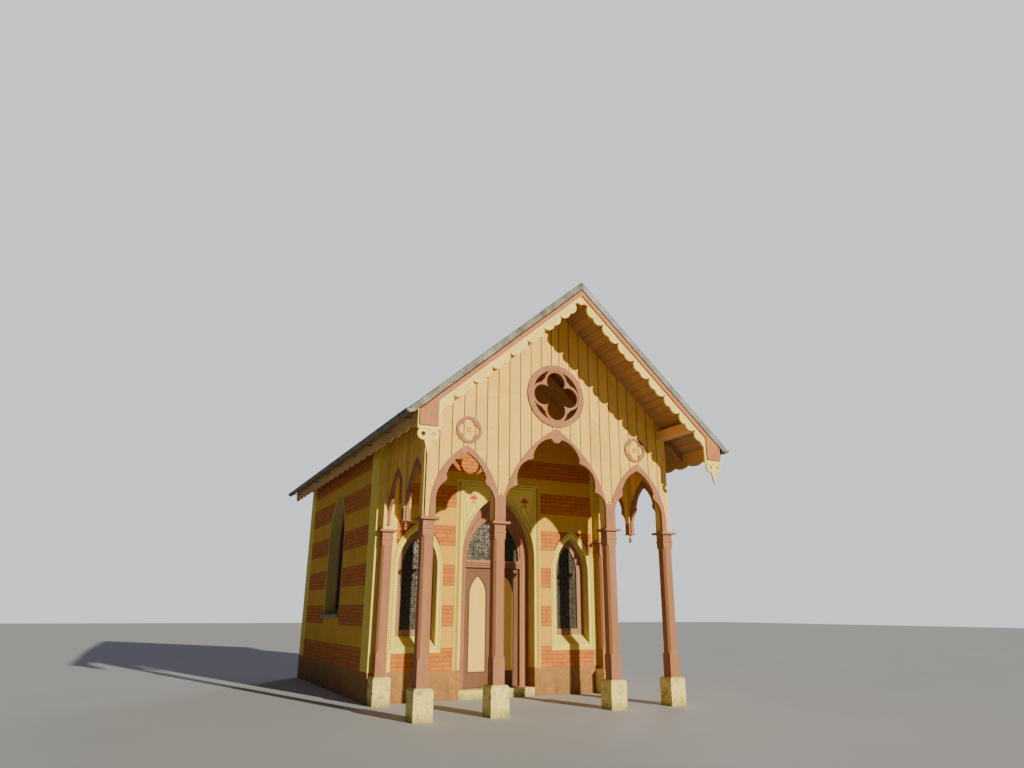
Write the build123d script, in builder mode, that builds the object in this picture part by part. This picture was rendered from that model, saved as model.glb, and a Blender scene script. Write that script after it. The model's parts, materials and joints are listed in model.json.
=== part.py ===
from build123d import *
import os
from math import acos, ceil, cos, pi, radians, sin, sqrt, tan

# Small chapel with an open timber porch, in millimetres.
# +Z is up and the porch faces -Y. The origin is at ground level, at the centre of the roof's plan.

# Plan
roof_front_overhang = 900
porch_depth = 2160
chapel_length = 5540
roof_rear_overhang = 150
chapel_half_width = 2375
wall = 400
floor_top = 150

# Roof
roof_slope = 41.35
eave_half_width = 2850
covering = 45
deck = 25
ridge_cap_leg = 130
ridge_cap_sheet = 8
rafter_width = 80
rafter_depth = 110
porch_rafters = 3
nave_rafters = 6
ridge_beam_half_width = 70
ridge_beam_depth = 170
plate_height = 150
plate_bottom = 4420
plate_to_deck = 5.8
gutter_radius = 58
gutter_sheet = 4
gutter_drop = 45
gutter_out = 32
deck_setback = 67.5

# Verge
flashing_sheet = 4
flashing_leg = 90
flashing_depth = 64
verge_board = 25
verge_board_top = 78
verge_board_bottom = 227
bargeboard = 30
scallop_pitch = 403
scallop_setback = 469
scallop_notch = 210
scallop_kink = 296
scallop_lobe = 318
panel_width = 284
panel_setback = 115
panel_drop = 255
pendant_width = 347
pendant_setback = 95
pendant_band_drop = 305
pendant_centre_setback = 258
pendant_lobe = 87
pendant_lobe_reach = 73
pendant_lobe_drop = 377
pendant_hole = 33
pendant_tip_half = 50
pendant_tip_top_drop = 485
pendant_tip_drop = 656
rear_board_depth = 280
fascia = 25
fascia_notch_drop = 190
fascia_lobe_drop = 235
arc_facets = 4
saw_turn = 15
saw_stray = 2
saw_joint = 0.01
fascia_scallops = 23
gutter_bracket = 30
gutter_bracket_count = 9
gutter_bracket_end = 300
strap_bends = 8

# Posts
post_inner_x = 1036
post_inset = 168
post_width = 186
pedestal_width = 292
pedestal_height = 430
pedestal_chamfer = 25
post_block_top = 780
post_chamfer = 34
post_stop = 45
post_chamfer_top_drop = 248
astragal_drop = 161
astragal_height = 20
astragal_reach = 9
abacus_top = 2778
abacus_height = 36
abacus_reach = 57

# Front boarding, arches and roundels
board_recess = 20
board_thickness = 30
board_edge_inset = 25
board_tip_rise = 412

# Outlines of the front arches: share of the half width, height over the abacus and the curve's bow
centre_casing_spring = 72
centre_casing_shoulder = (0.769, 822)
centre_casing_apex = 1603
centre_foil_foot = 352
centre_foils = (
    ((0.795, 584), 55),
    ((0.776, 610), 0),
    ((0.785, 637), 0),
    ((0.486, 1044), 105),
    ((0.462, 1070), 0),
    ((0.475, 1100), 0),
    ((0.106, 1422), 75),
    ((0.064, 1377), 0),
    ((0.037, 1358), 0),
    ((0, 1358), 0),
)
side_casing_spring = 152
side_casing_shoulder = (0.738, 722)
side_casing_apex = 1154
side_foil_foot = 302
side_foils = (
    ((0.7, 557), 37),
    ((0.654, 588), 0),
    ((0.654, 624), 0),
    ((0.682, 665), 0),
    ((0, 1034), 54),
)
roundel_rise = 2175
roundel_radius = 550
roundel_inner = 450
roundel_proud = 12
tracery = 36
foil_radius = 178
foil_offset = 245
foil_band = 42
roundel_core = 360
small_roundel_shift = 24.5
small_roundel_rise = 1399
small_roundel_radius = 218
small_roundel_proud = 8
small_foil_radius = 85
small_foil_offset = 90

# Side arcades, with the foils' outline from the top of the abacus too
arcade_rise = 62
arcade_radius = 1150
arcade_leg = 22
arcade_casing = 93
arcade_foil_foot = 212
arcade_foils = (
    ((0.696, 447), 33),
    ((0.643, 477), 0),
    ((0.643, 510), 0),
    ((0.673, 547), 0),
    ((0, 872), 48),
)
pendant_post_width = 120
pendant_plate = 14
pendant_plate_reach = 14
pendant_sides = 10
pendant_profile = ((0, 44), (22, 12), (58, 14), (66, 36), (76, 36), (88, 18), (104, 30), (124, 30), (144, 10))

# Doorway and its two leaves
doorway_half = 745
doorway_spring = 2420
doorway_radius = 1250
wall_split_x = 900
door_setback = 250
door_frame_depth = 100
door_jamb = 180
transom_bottom = 2220
transom_top = 2355
tympanum_glass_thickness = 10
leaf_thickness = 45
leaf_gap = 5
leaf_meeting_gap = 12
panel_lancet_half = 165
panel_lancet_bottom = 420
panel_lancet_apex = 2070
panel_lancet_radius = 420
panel_recess = 12
hinge_pin_radius = 8
hinge_barrel_radius = 14
hinge_bore_gap = 0.1
hinge_end_gap = 0.3
hinge_knuckle = 36
hinge_leaf_plate = 45
hinge_heights = (420, 1940)

# Windows
front_window_x = 1575
front_window_half = 365
front_window_bottom = 1030
front_window_face_bottom = 865
front_window_spring = 2200
front_window_radius = 745
front_frame_width = 140
front_frame_bottom = 110
window_setback = 200
window_frame_depth = 60
window_glass = 8
side_window_half = 600
side_window_bottom = 1400
side_window_spring = 2780
side_window_radius = 1250
side_frame_width = 75
side_sill_height = 80
side_sill_reach = 60
side_sill_end = 60

# Derived places
roof_length = roof_front_overhang + porch_depth + chapel_length + roof_rear_overhang
y_verge_front = -roof_length / 2
y_verge_rear = roof_length / 2
y_gable = y_verge_front + roof_front_overhang
y_wall = y_gable + porch_depth
y_rear = y_wall + chapel_length
slope = tan(radians(roof_slope))
upright = 1 / cos(radians(roof_slope))
covering_drop = covering * upright
deck_drop = covering_drop + deck * upright
rafter_drop = deck_drop + rafter_depth * upright
post_outer_x = chapel_half_width - post_inset
plate_inner = post_outer_x - post_width / 2
plate_outer = post_outer_x + post_width / 2
plate_top = plate_bottom + plate_height
apex_top = plate_top + plate_to_deck + deck_drop + plate_outer * slope
eave_top = apex_top - eave_half_width * slope
board_edge = plate_outer - board_edge_inset
board_tip = abacus_top + board_tip_rise
roundel_z = abacus_top + roundel_rise
arcade_spring = abacus_top + arcade_rise
panel_outer = eave_half_width - panel_setback
panel_inner = panel_outer - panel_width
panel_bottom = eave_top - panel_drop
pendant_outer = eave_half_width - pendant_setback
pendant_inner = pendant_outer - pendant_width
pendant_centre = eave_half_width - pendant_centre_setback
pendant_lobe_z = eave_top - pendant_lobe_drop
y_verge_board = y_verge_front + flashing_sheet
y_bargeboard = y_verge_board + verge_board
y_boards_rear = y_bargeboard + bargeboard
casing_depth = board_recess + board_thickness
side_arch_x = (post_inner_x + post_outer_x) / 2
centre_arch_half = post_inner_x - post_width / 2
side_arch_half = (post_outer_x - post_inner_x - post_width) / 2
small_roundel_x = side_arch_x - small_roundel_shift
small_roundel_z = abacus_top + small_roundel_rise


def roof_z(x, drop=0):
    """Height of the roof's top face at x, less a vertical drop."""
    return apex_top - abs(x) * slope - drop


def facing_front(y):
    """Sketch plane seen from the front: +X right, +Z up. Extrudes towards the front."""
    return Plane(origin=(0, y, 0), x_dir=(1, 0, 0), z_dir=(0, -1, 0))


def facing_left(x):
    """Sketch plane of a side: +Y right, +Z up. Extrudes towards +X."""
    return Plane(origin=(x, 0, 0), x_dir=(0, 1, 0), z_dir=(1, 0, 0))


def rise_for(half, radius):
    """Rise of a pointed arch with this half width and side radius."""
    return sqrt(radius**2 - (radius - half) ** 2)


def arc_middle(half, spring, radius):
    """Middle of the right side of a pointed arch."""
    angle = acos((radius - half) / radius) / 2
    return (half - radius + radius * cos(angle), spring + radius * sin(angle))


def sawn(sketch):
    """The same face with its curves as straight cuts that stray little from them."""
    loop = []
    for edge in sketch.face().outer_wire().order_edges():
        cuts = 1
        if edge.geom_type != GeomType.LINE:
            turn = min(radians(saw_turn), 2 * acos(1 - saw_stray / edge.radius))
            cuts = max(2, ceil(edge.length / edge.radius / turn))
        points = [edge @ (place / cuts) for place in range(cuts + 1)]
        if loop and (points[-1] - loop[-1]).length < (points[0] - loop[-1]).length:
            points.reverse()
        loop += points
    corners = [point for point, before in zip(loop, loop[-1:] + loop[:-1]) if (point - before).length > saw_joint]
    return polygon(*[(point.X, point.Y) for point in corners])


def disc(radius):
    """Sawn circle about the origin."""
    with BuildSketch() as whole:
        Circle(radius)
    return sawn(whole.sketch)


def lancet(half, bottom, spring, radius):
    """Face of a pointed opening, centred on x = 0."""
    apex = (0, spring + rise_for(half, radius))
    middle_x, middle_z = arc_middle(half, spring, radius)
    with BuildSketch() as opening:
        with BuildLine():
            Polyline((-half, spring), (-half, bottom), (half, bottom), (half, spring))
            ThreePointArc((half, spring), (middle_x, middle_z), apex)
            ThreePointArc(apex, (-middle_x, middle_z), (-half, spring))
        make_face()
    return sawn(opening.sketch)


def bowed(start, end, bow):
    """Middle of a curve from start to end that bows out to the right of its way."""
    reach_x = end[0] - start[0]
    reach_z = end[1] - start[1]
    share = bow / sqrt(reach_x**2 + reach_z**2)
    return (
        (start[0] + end[0]) / 2 + reach_z * share,
        (start[1] + end[1]) / 2 - reach_x * share,
    )


def faceted_arc(start, middle, end):
    """Sawn curve through three points, as a few straight cuts."""
    curve = ThreePointArc(start, middle, end, mode=Mode.PRIVATE)
    Polyline(*[curve @ (place / arc_facets) for place in range(arc_facets + 1)])


def symmetric_face(bottom, half, foot, steps):
    """Face with straight sides up to a foot, then steps to the centre line, each with its bow."""
    with BuildSketch() as face:
        with BuildLine():
            Polyline((0, bottom), (half, bottom), (half, foot))
            here = (half, foot)
            for (share, height), bow in steps:
                end = (share * half, height)
                if bow == 0:
                    Line(here, end)
                else:
                    ThreePointArc(here, bowed(here, end, bow), end)
                here = end
            Line(here, (0, bottom))
        make_face()
        mirror(about=Plane.YZ)
    return sawn(face.sketch)


def pointed_face(half, bottom, spring, shoulder, apex):
    """Face of a pointed arch whose sides pass through a shoulder point."""
    with BuildSketch() as face:
        with BuildLine():
            Polyline((-half, spring), (-half, bottom), (half, bottom), (half, spring))
            shoulder_x = shoulder[0] * half
            ThreePointArc((half, spring), (shoulder_x, shoulder[1]), (0, apex))
            ThreePointArc((0, apex), (-shoulder_x, shoulder[1]), (-half, spring))
        make_face()
        Rectangle(2 * half, 2 * apex, mode=Mode.INTERSECT)
    return sawn(face.sketch)


def quatrefoil(radius, offset):
    """Four overlapping circles about the origin."""
    with BuildSketch() as foils:
        with PolarLocations(offset, 4):
            Circle(radius)
        Rectangle(offset, offset)
    return sawn(foils.sketch)


def polygon(*corners):
    """Face inside straight lines through the corners."""
    with BuildSketch() as outline:
        with BuildLine():
            Polyline(*corners, close=True)
        make_face()
    return outline.sketch


def save(builder, name):
    """Label a finished piece and write it."""
    builder.part.label = name
    export_step(builder.part, f"parts/{name}.step")


def mirrored(builder):
    """The same piece on the other side of the chapel."""
    with BuildPart() as other:
        mirror(builder.part, about=Plane.YZ)
    return other


os.makedirs("parts", exist_ok=True)

# Floor of the nave and the threshold in the doorway
nave_half_width = chapel_half_width - wall
with BuildPart() as floor_slab:
    with BuildSketch():
        with Locations((0, (y_wall + y_rear) / 2)):
            Rectangle(2 * nave_half_width, chapel_length - 2 * wall)
    extrude(amount=floor_top)
save(floor_slab, "floor_slab")

with BuildPart() as door_threshold:
    with BuildSketch():
        with Locations((0, y_wall + wall / 2)):
            Rectangle(2 * doorway_half, wall)
    extrude(amount=floor_top)
save(door_threshold, "door_threshold")

# Front wall: a pier each side of the doorway, and the gable over its arch
with BuildPart() as front_wall_left:
    with BuildSketch(facing_front(y_wall)):
        add(
            polygon(
                (-chapel_half_width, 0),
                (-doorway_half, 0),
                (-doorway_half, doorway_spring),
                (-wall_split_x, doorway_spring),
                (-wall_split_x, roof_z(wall_split_x, deck_drop)),
                (-plate_inner, roof_z(plate_inner, deck_drop)),
                (-plate_inner, plate_bottom),
                (-chapel_half_width, plate_bottom),
            )
        )
        with Locations((-front_window_x, 0)):
            add(
                lancet(
                    front_window_half,
                    front_window_bottom,
                    front_window_spring,
                    front_window_radius,
                ),
                mode=Mode.SUBTRACT,
            )
    extrude(amount=-wall)
    with BuildSketch(facing_left(-front_window_x - front_window_half)):
        add(
            polygon(
                (y_wall, front_window_face_bottom),
                (y_wall + window_setback, front_window_bottom),
                (y_wall, front_window_bottom),
            )
        )
    extrude(amount=2 * front_window_half, mode=Mode.SUBTRACT)
save(front_wall_left, "front_wall_left")
front_wall_right = mirrored(front_wall_left)
save(front_wall_right, "front_wall_right")

with BuildPart() as front_wall_gable:
    with BuildSketch(facing_front(y_wall)):
        add(
            polygon(
                (-wall_split_x, doorway_spring),
                (wall_split_x, doorway_spring),
                (wall_split_x, roof_z(wall_split_x, deck_drop)),
                (0, roof_z(0, deck_drop)),
                (-wall_split_x, roof_z(wall_split_x, deck_drop)),
            )
        )
        add(lancet(doorway_half, 0, doorway_spring, doorway_radius), mode=Mode.SUBTRACT)
        with Locations((0, roof_z(ridge_beam_half_width, deck_drop))):
            Rectangle(2 * ridge_beam_half_width, 2 * ridge_beam_depth, mode=Mode.SUBTRACT)
    extrude(amount=-wall)
save(front_wall_gable, "front_wall_gable")

# Side walls, each with one large lancet window
side_window_y = (y_wall + y_rear) / 2
with BuildPart() as left_wall:
    with BuildSketch(facing_left(-chapel_half_width)):
        with Locations((side_window_y, plate_bottom / 2)):
            Rectangle(chapel_length - 2 * wall, plate_bottom)
        with Locations((side_window_y, 0)):
            add(
                lancet(
                    side_window_half,
                    side_window_bottom,
                    side_window_spring,
                    side_window_radius,
                ),
                mode=Mode.SUBTRACT,
            )
    extrude(amount=wall)
    with BuildSketch(facing_left(-chapel_half_width)):
        with Locations((side_window_y, side_window_bottom - side_sill_height / 2)):
            Rectangle(2 * side_window_half, side_sill_height)
    extrude(amount=window_setback, mode=Mode.SUBTRACT)
save(left_wall, "left_wall")
right_wall = mirrored(left_wall)
save(right_wall, "right_wall")

with BuildPart() as rear_wall:
    with BuildSketch(facing_front(y_rear - wall)):
        add(
            polygon(
                (-chapel_half_width, 0),
                (chapel_half_width, 0),
                (chapel_half_width, plate_bottom),
                (plate_inner, plate_bottom),
                (plate_inner, roof_z(plate_inner, deck_drop)),
                (0, roof_z(0, deck_drop)),
                (-plate_inner, roof_z(plate_inner, deck_drop)),
                (-plate_inner, plate_bottom),
                (-chapel_half_width, plate_bottom),
            )
        )
        with Locations((0, roof_z(ridge_beam_half_width, deck_drop))):
            Rectangle(2 * ridge_beam_half_width, 2 * ridge_beam_depth, mode=Mode.SUBTRACT)
    extrude(amount=-wall)
save(rear_wall, "rear_wall")


# Window frames, glass and stone sills
def window_ring(half, bottom, spring, radius, width, bottom_width):
    """Face of a lancet frame whose outer edge fits the opening."""
    with BuildSketch() as ring:
        add(lancet(half, bottom, spring, radius))
        add(
            lancet(half - width, bottom + bottom_width, spring, radius - width),
            mode=Mode.SUBTRACT,
        )
    return ring.sketch


y_window = y_wall + window_setback
with BuildPart() as front_window_frames:
    with BuildSketch(facing_front(y_window)):
        with Locations((-front_window_x, 0), (front_window_x, 0)):
            add(
                window_ring(
                    front_window_half,
                    front_window_bottom,
                    front_window_spring,
                    front_window_radius,
                    front_frame_width,
                    front_frame_bottom,
                )
            )
    extrude(amount=-window_frame_depth)
save(front_window_frames, "front_window_frames")

with BuildPart() as front_window_glass:
    with BuildSketch(facing_front(y_window + (window_frame_depth - window_glass) / 2)):
        with Locations((-front_window_x, 0), (front_window_x, 0)):
            add(
                lancet(
                    front_window_half - front_frame_width,
                    front_window_bottom + front_frame_bottom,
                    front_window_spring,
                    front_window_radius - front_frame_width,
                )
            )
    extrude(amount=-window_glass)
save(front_window_glass, "front_window_glass")

x_side_window = -chapel_half_width + window_setback
with BuildPart() as side_window_frames:
    with BuildSketch(facing_left(x_side_window)):
        with Locations((side_window_y, 0)):
            add(
                window_ring(
                    side_window_half,
                    side_window_bottom,
                    side_window_spring,
                    side_window_radius,
                    side_frame_width,
                    side_frame_width,
                )
            )
    extrude(amount=window_frame_depth)
    mirror(about=Plane.YZ)
save(side_window_frames, "side_window_frames")

with BuildPart() as side_window_glass:
    with BuildSketch(facing_left(x_side_window + (window_frame_depth - window_glass) / 2)):
        with Locations((side_window_y, 0)):
            add(
                lancet(
                    side_window_half - side_frame_width,
                    side_window_bottom + side_frame_width,
                    side_window_spring,
                    side_window_radius - side_frame_width,
                )
            )
    extrude(amount=window_glass)
    mirror(about=Plane.YZ)
save(side_window_glass, "side_window_glass")

with BuildPart() as side_sills:
    with BuildSketch(Plane(origin=(0, side_window_y, 0), x_dir=(1, 0, 0), z_dir=(0, -1, 0))):
        add(
            polygon(
                (-chapel_half_width - side_sill_reach, side_window_bottom - side_sill_height),
                (-chapel_half_width, side_window_bottom - side_sill_height),
                (-chapel_half_width, side_window_bottom),
                (-chapel_half_width - side_sill_reach, side_window_bottom - side_sill_height / 3),
            )
        )
    extrude(amount=side_window_half + side_sill_end, both=True)
    with BuildSketch(facing_left(-chapel_half_width)):
        with Locations((side_window_y, side_window_bottom - side_sill_height / 2)):
            Rectangle(2 * side_window_half, side_sill_height)
    extrude(amount=window_setback)
    mirror(about=Plane.YZ)
save(side_sills, "side_sills")

# Door frame with its transom, the glass over it and the two leaves
y_door_frame = y_wall + door_setback
y_door_rear = y_door_frame + door_frame_depth
door_half = doorway_half - door_jamb
with BuildPart() as door_frame:
    with BuildSketch(facing_front(y_door_frame)):
        add(lancet(doorway_half, floor_top, doorway_spring, doorway_radius))
        add(
            lancet(door_half, floor_top, doorway_spring, doorway_radius - door_jamb),
            mode=Mode.SUBTRACT,
        )
        with Locations((0, (transom_bottom + transom_top) / 2)):
            Rectangle(2 * door_half, transom_top - transom_bottom)
    extrude(amount=-door_frame_depth)
save(door_frame, "door_frame")

with BuildPart() as tympanum_glass:
    with BuildSketch(facing_front(y_door_frame + (door_frame_depth - tympanum_glass_thickness) / 2)):
        add(lancet(door_half, transom_top, doorway_spring, doorway_radius - door_jamb))
    extrude(amount=-tympanum_glass_thickness)
save(tympanum_glass, "tympanum_glass")

hinge_x = door_half - leaf_gap / 2
hinge_y = y_door_rear + hinge_barrel_radius + leaf_gap
leaf_outer = door_half - leaf_gap
leaf_inner = leaf_meeting_gap / 2
leaf_width = leaf_outer - leaf_inner
leaf_centre = (leaf_outer + leaf_inner) / 2
leaf_bottom = floor_top + leaf_gap
leaf_top = transom_bottom - leaf_gap
y_leaf = y_door_rear - leaf_thickness
plate_reach = hinge_leaf_plate + hinge_barrel_radius

with BuildPart() as door_leaf_left:
    with BuildSketch(facing_front(y_leaf)):
        with Locations((-leaf_centre, (leaf_bottom + leaf_top) / 2)):
            Rectangle(leaf_width, leaf_top - leaf_bottom)
    extrude(amount=-leaf_thickness)
    with BuildSketch(facing_front(y_leaf)):
        with Locations((-leaf_centre, 0)):
            add(
                lancet(
                    panel_lancet_half,
                    panel_lancet_bottom,
                    panel_lancet_apex - rise_for(panel_lancet_half, panel_lancet_radius),
                    panel_lancet_radius,
                )
            )
    extrude(amount=-panel_recess, mode=Mode.SUBTRACT)
    for height in hinge_heights:
        with BuildSketch(Plane.XY.offset(height - hinge_knuckle / 2)):
            with Locations((-hinge_x, hinge_y)):
                Circle(hinge_barrel_radius)
            with Locations((-hinge_x + plate_reach / 2, y_door_rear + hinge_barrel_radius / 4)):
                Rectangle(plate_reach, hinge_barrel_radius / 2)
            with Locations((-hinge_x + hinge_barrel_radius / 2, hinge_y - hinge_barrel_radius / 2)):
                Rectangle(hinge_barrel_radius, hinge_barrel_radius + 2 * leaf_gap)
            with Locations((-hinge_x, hinge_y)):
                Circle(hinge_pin_radius + hinge_bore_gap, mode=Mode.SUBTRACT)
        extrude(amount=hinge_knuckle)
save(door_leaf_left, "door_leaf_left")
door_leaf_right = mirrored(door_leaf_left)
save(door_leaf_right, "door_leaf_right")

with BuildPart() as door_hinges:
    for side in (-1, 1):
        for height in hinge_heights:
            lower = height - hinge_knuckle / 2 - hinge_end_gap - hinge_knuckle
            with BuildSketch(Plane.XY.offset(lower)):
                with Locations((side * hinge_x, hinge_y)):
                    Circle(hinge_barrel_radius)
                with Locations((side * (hinge_x + plate_reach / 2), y_door_rear + hinge_barrel_radius / 4)):
                    Rectangle(plate_reach, hinge_barrel_radius / 2)
                with Locations((side * (hinge_x + hinge_barrel_radius / 2), hinge_y - hinge_barrel_radius / 2)):
                    Rectangle(hinge_barrel_radius, hinge_barrel_radius + 2 * leaf_gap)
            extrude(amount=hinge_knuckle)
            with BuildSketch(Plane.XY.offset(lower)):
                with Locations((side * hinge_x, hinge_y)):
                    Circle(hinge_pin_radius)
            extrude(amount=3 * hinge_knuckle)
save(door_hinges, "door_hinges")

# Pedestals and posts
y_front_post = y_gable + post_width / 2
y_rear_post = y_wall - post_width / 2
y_rear_pedestal = y_wall - pedestal_width / 2
front_post_xs = (-post_outer_x, -post_inner_x, post_inner_x, post_outer_x)
rear_post_xs = (-post_outer_x, post_outer_x)

with BuildPart() as pedestals:
    with BuildSketch():
        with Locations(*[(x, y_front_post) for x in front_post_xs]):
            Rectangle(pedestal_width, pedestal_width)
        with Locations(*[(x, y_rear_pedestal) for x in rear_post_xs]):
            Rectangle(pedestal_width, pedestal_width)
    extrude(amount=pedestal_height)
    chamfer(pedestals.edges().group_by(Axis.Z)[-1], pedestal_chamfer)
save(pedestals, "pedestals")


def post(x, y):
    """Square post with stopped chamfers, an astragal and an abacus."""
    with BuildPart() as shaft:
        with BuildSketch(Plane.XY.offset(pedestal_height)):
            with Locations((x, y)):
                Rectangle(post_width, post_width)
        extrude(amount=abacus_top - pedestal_height)
        chamfer_top = abacus_top - post_chamfer_top_drop
        corner = post_width / sqrt(2)
        cut = post_chamfer / sqrt(2)
        for turn in (45, 135, 225, 315):
            outward = (cos(radians(turn)), sin(radians(turn)), 0)
            sideways = (-sin(radians(turn)), cos(radians(turn)), 0)
            with BuildSketch(Plane(origin=(x, y, 0), x_dir=outward, z_dir=sideways)):
                add(
                    polygon(
                        (corner, -post_block_top),
                        (corner - cut, -post_block_top - post_stop),
                        (corner - cut, post_stop - chamfer_top),
                        (corner, -chamfer_top),
                    )
                )
            extrude(amount=post_chamfer, both=True, mode=Mode.SUBTRACT)
        with BuildSketch(Plane.XY.offset(abacus_top - astragal_drop - astragal_height / 2)):
            with Locations((x, y)):
                Rectangle(post_width + 2 * astragal_reach, post_width + 2 * astragal_reach)
        extrude(amount=astragal_height)
        with BuildSketch(Plane.XY.offset(abacus_top - abacus_height)):
            with Locations((x, y)):
                Rectangle(post_width + 2 * abacus_reach, post_width + 2 * abacus_reach)
        extrude(amount=abacus_height)
    return shaft.part


def post_head(x, y_head, top_inner, top_outer):
    """Post above the abacus, from this face to the post's back, up to a sloping top."""
    near = abs(x) - post_width / 2
    far = abs(x) + post_width / 2
    with BuildPart() as head:
        with BuildSketch(facing_front(y_head)):
            add(polygon((near, abacus_top), (far, abacus_top), (far, top_outer), (near, top_inner)))
            if x < 0:
                mirror(about=Plane.YZ, mode=Mode.REPLACE)
        extrude(amount=y_head - y_gable - post_width)
    return head.part


with BuildPart() as front_posts:
    for x in front_post_xs:
        add(post(x, y_front_post))
    for x in (-post_inner_x, post_inner_x):
        add(
            post_head(
                x,
                y_gable + casing_depth,
                roof_z(post_inner_x - post_width / 2, rafter_drop),
                roof_z(post_inner_x + post_width / 2, rafter_drop),
            )
        )
    for x in (-post_outer_x, post_outer_x):
        add(post_head(x, y_gable + casing_depth, plate_bottom, plate_bottom))
save(front_posts, "front_posts")

with BuildPart() as rear_posts:
    for x in rear_post_xs:
        add(post(x, y_rear_post))
    with BuildSketch(Plane.XY.offset(abacus_top)):
        with Locations(*[(x, y_rear_post) for x in rear_post_xs]):
            Rectangle(post_width, post_width)
    extrude(amount=plate_bottom - abacus_top)
    with BuildSketch(Plane.XY.offset(pedestal_height)):
        with Locations((0, y_wall + post_width)):
            Rectangle(2 * chapel_half_width, 2 * post_width)
    extrude(amount=plate_bottom - pedestal_height, mode=Mode.SUBTRACT)
save(rear_posts, "rear_posts")

# Front arches: a casing for the centre and one for each side
with BuildSketch() as centre_casing_outer:
    with Locations((0, abacus_top)):
        add(
            pointed_face(
                post_inner_x,
                0,
                centre_casing_spring,
                centre_casing_shoulder,
                centre_casing_apex,
            )
        )
    with Locations((0, abacus_top + board_tip_rise / 2)):
        Rectangle(2 * post_inner_x, board_tip_rise)

with BuildPart() as arch_casing_centre:
    with BuildSketch(facing_front(y_gable)):
        add(centre_casing_outer.sketch)
        with Locations((0, abacus_top)):
            add(
                symmetric_face(-board_tip_rise, centre_arch_half, centre_foil_foot, centre_foils),
                mode=Mode.SUBTRACT,
            )
    extrude(amount=-casing_depth)
save(arch_casing_centre, "arch_casing_centre")

side_casing_half = side_arch_x - post_inner_x
with BuildSketch() as side_casing_outer:
    with Locations((side_arch_x, abacus_top)):
        add(
            pointed_face(
                side_casing_half,
                0,
                side_casing_spring,
                side_casing_shoulder,
                side_casing_apex,
            )
        )
    with Locations((side_arch_x - side_casing_half / 2, abacus_top + board_tip_rise / 2)):
        Rectangle(side_casing_half, board_tip_rise)
    mirror(about=Plane.YZ)

with BuildPart() as arch_casings_side:
    with BuildSketch(facing_front(y_gable)):
        add(side_casing_outer.sketch)
        with Locations((-side_arch_x, abacus_top), (side_arch_x, abacus_top)):
            add(
                symmetric_face(-board_tip_rise, side_arch_half, side_foil_foot, side_foils),
                mode=Mode.SUBTRACT,
            )
    extrude(amount=-casing_depth)
save(arch_casings_side, "arch_casings_side")

# Boarding of the porch gable, between and above the casings
with BuildPart() as gable_boarding:
    with BuildSketch(facing_front(y_gable + board_recess)):
        add(
            polygon(
                (-board_edge, abacus_top),
                (board_edge, abacus_top),
                (board_edge, roof_z(board_edge, deck_drop)),
                (0, roof_z(0, deck_drop)),
                (-board_edge, roof_z(board_edge, deck_drop)),
            )
        )
        add(centre_casing_outer.sketch, mode=Mode.SUBTRACT)
        add(side_casing_outer.sketch, mode=Mode.SUBTRACT)
        with Locations((0, roundel_z)):
            add(disc(roundel_inner), mode=Mode.SUBTRACT)
        with Locations((0, roof_z(ridge_beam_half_width, deck_drop))):
            Rectangle(2 * ridge_beam_half_width, 2 * ridge_beam_depth, mode=Mode.SUBTRACT)
        with Locations((-post_outer_x, plate_bottom + plate_height / 2), (post_outer_x, plate_bottom + plate_height / 2)):
            Rectangle(post_width, plate_height, mode=Mode.SUBTRACT)
        with Locations((-board_edge, plate_bottom + plate_height / 2), (board_edge, plate_bottom + plate_height / 2)):
            Rectangle(post_width, plate_height, mode=Mode.SUBTRACT)
    extrude(amount=-board_thickness)
save(gable_boarding, "gable_boarding")

# Roundels: an open quatrefoil in the gable and a small blind one over each side arch
with BuildPart() as roundel_centre:
    with BuildSketch(facing_front(y_gable - roundel_proud)):
        with Locations((0, roundel_z)):
            add(disc(roundel_radius))
            add(disc(roundel_inner), mode=Mode.SUBTRACT)
    extrude(amount=-(roundel_proud + board_recess))
    with BuildSketch(facing_front(y_gable)):
        with Locations((0, roundel_z)):
            add(disc(roundel_inner))
            add(disc(roundel_core), mode=Mode.SUBTRACT)
    extrude(amount=-tracery)
    with BuildSketch(facing_front(y_gable)):
        with Locations((0, roundel_z)):
            add(disc(roundel_inner))
            add(quatrefoil(foil_radius + foil_band, foil_offset), mode=Mode.SUBTRACT)
            add(disc(roundel_core), mode=Mode.SUBTRACT)
    extrude(amount=-tracery, mode=Mode.SUBTRACT)
    with BuildSketch(facing_front(y_gable)):
        with Locations((0, roundel_z)):
            add(disc(roundel_core))
            add(quatrefoil(foil_radius, foil_offset), mode=Mode.SUBTRACT)
    extrude(amount=-tracery)
    with BuildSketch(facing_front(y_gable)):
        with Locations((0, roundel_z)):
            add(quatrefoil(foil_radius, foil_offset))
    extrude(amount=-tracery, mode=Mode.SUBTRACT)
save(roundel_centre, "roundel_centre")

with BuildPart() as roundels_small:
    small_places = ((-small_roundel_x, small_roundel_z), (small_roundel_x, small_roundel_z))
    with BuildSketch(facing_front(y_gable - small_roundel_proud)):
        with Locations(*small_places):
            add(disc(small_roundel_radius))
            add(quatrefoil(small_foil_radius, small_foil_offset), mode=Mode.SUBTRACT)
    extrude(amount=-(small_roundel_proud + board_recess))
save(roundels_small, "roundels_small")

# Side arcades: two arches a side with a hanging post between them
bay_front = y_gable + post_width
bay_rear = y_wall - post_width
y_pendant = (bay_front + bay_rear) / 2
bay_half = (bay_rear - bay_front - pendant_post_width) / 4
bay_ys = (bay_front + bay_half, bay_rear - bay_half)
x_screen = -post_outer_x

with BuildSketch() as arcade_outer:
    add(lancet(bay_half + arcade_casing, arcade_spring - arcade_casing, arcade_spring, arcade_radius))
    with Locations((0, (arcade_spring + plate_bottom) / 2)):
        Rectangle(2 * bay_half, plate_bottom - arcade_spring, mode=Mode.INTERSECT)

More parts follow.
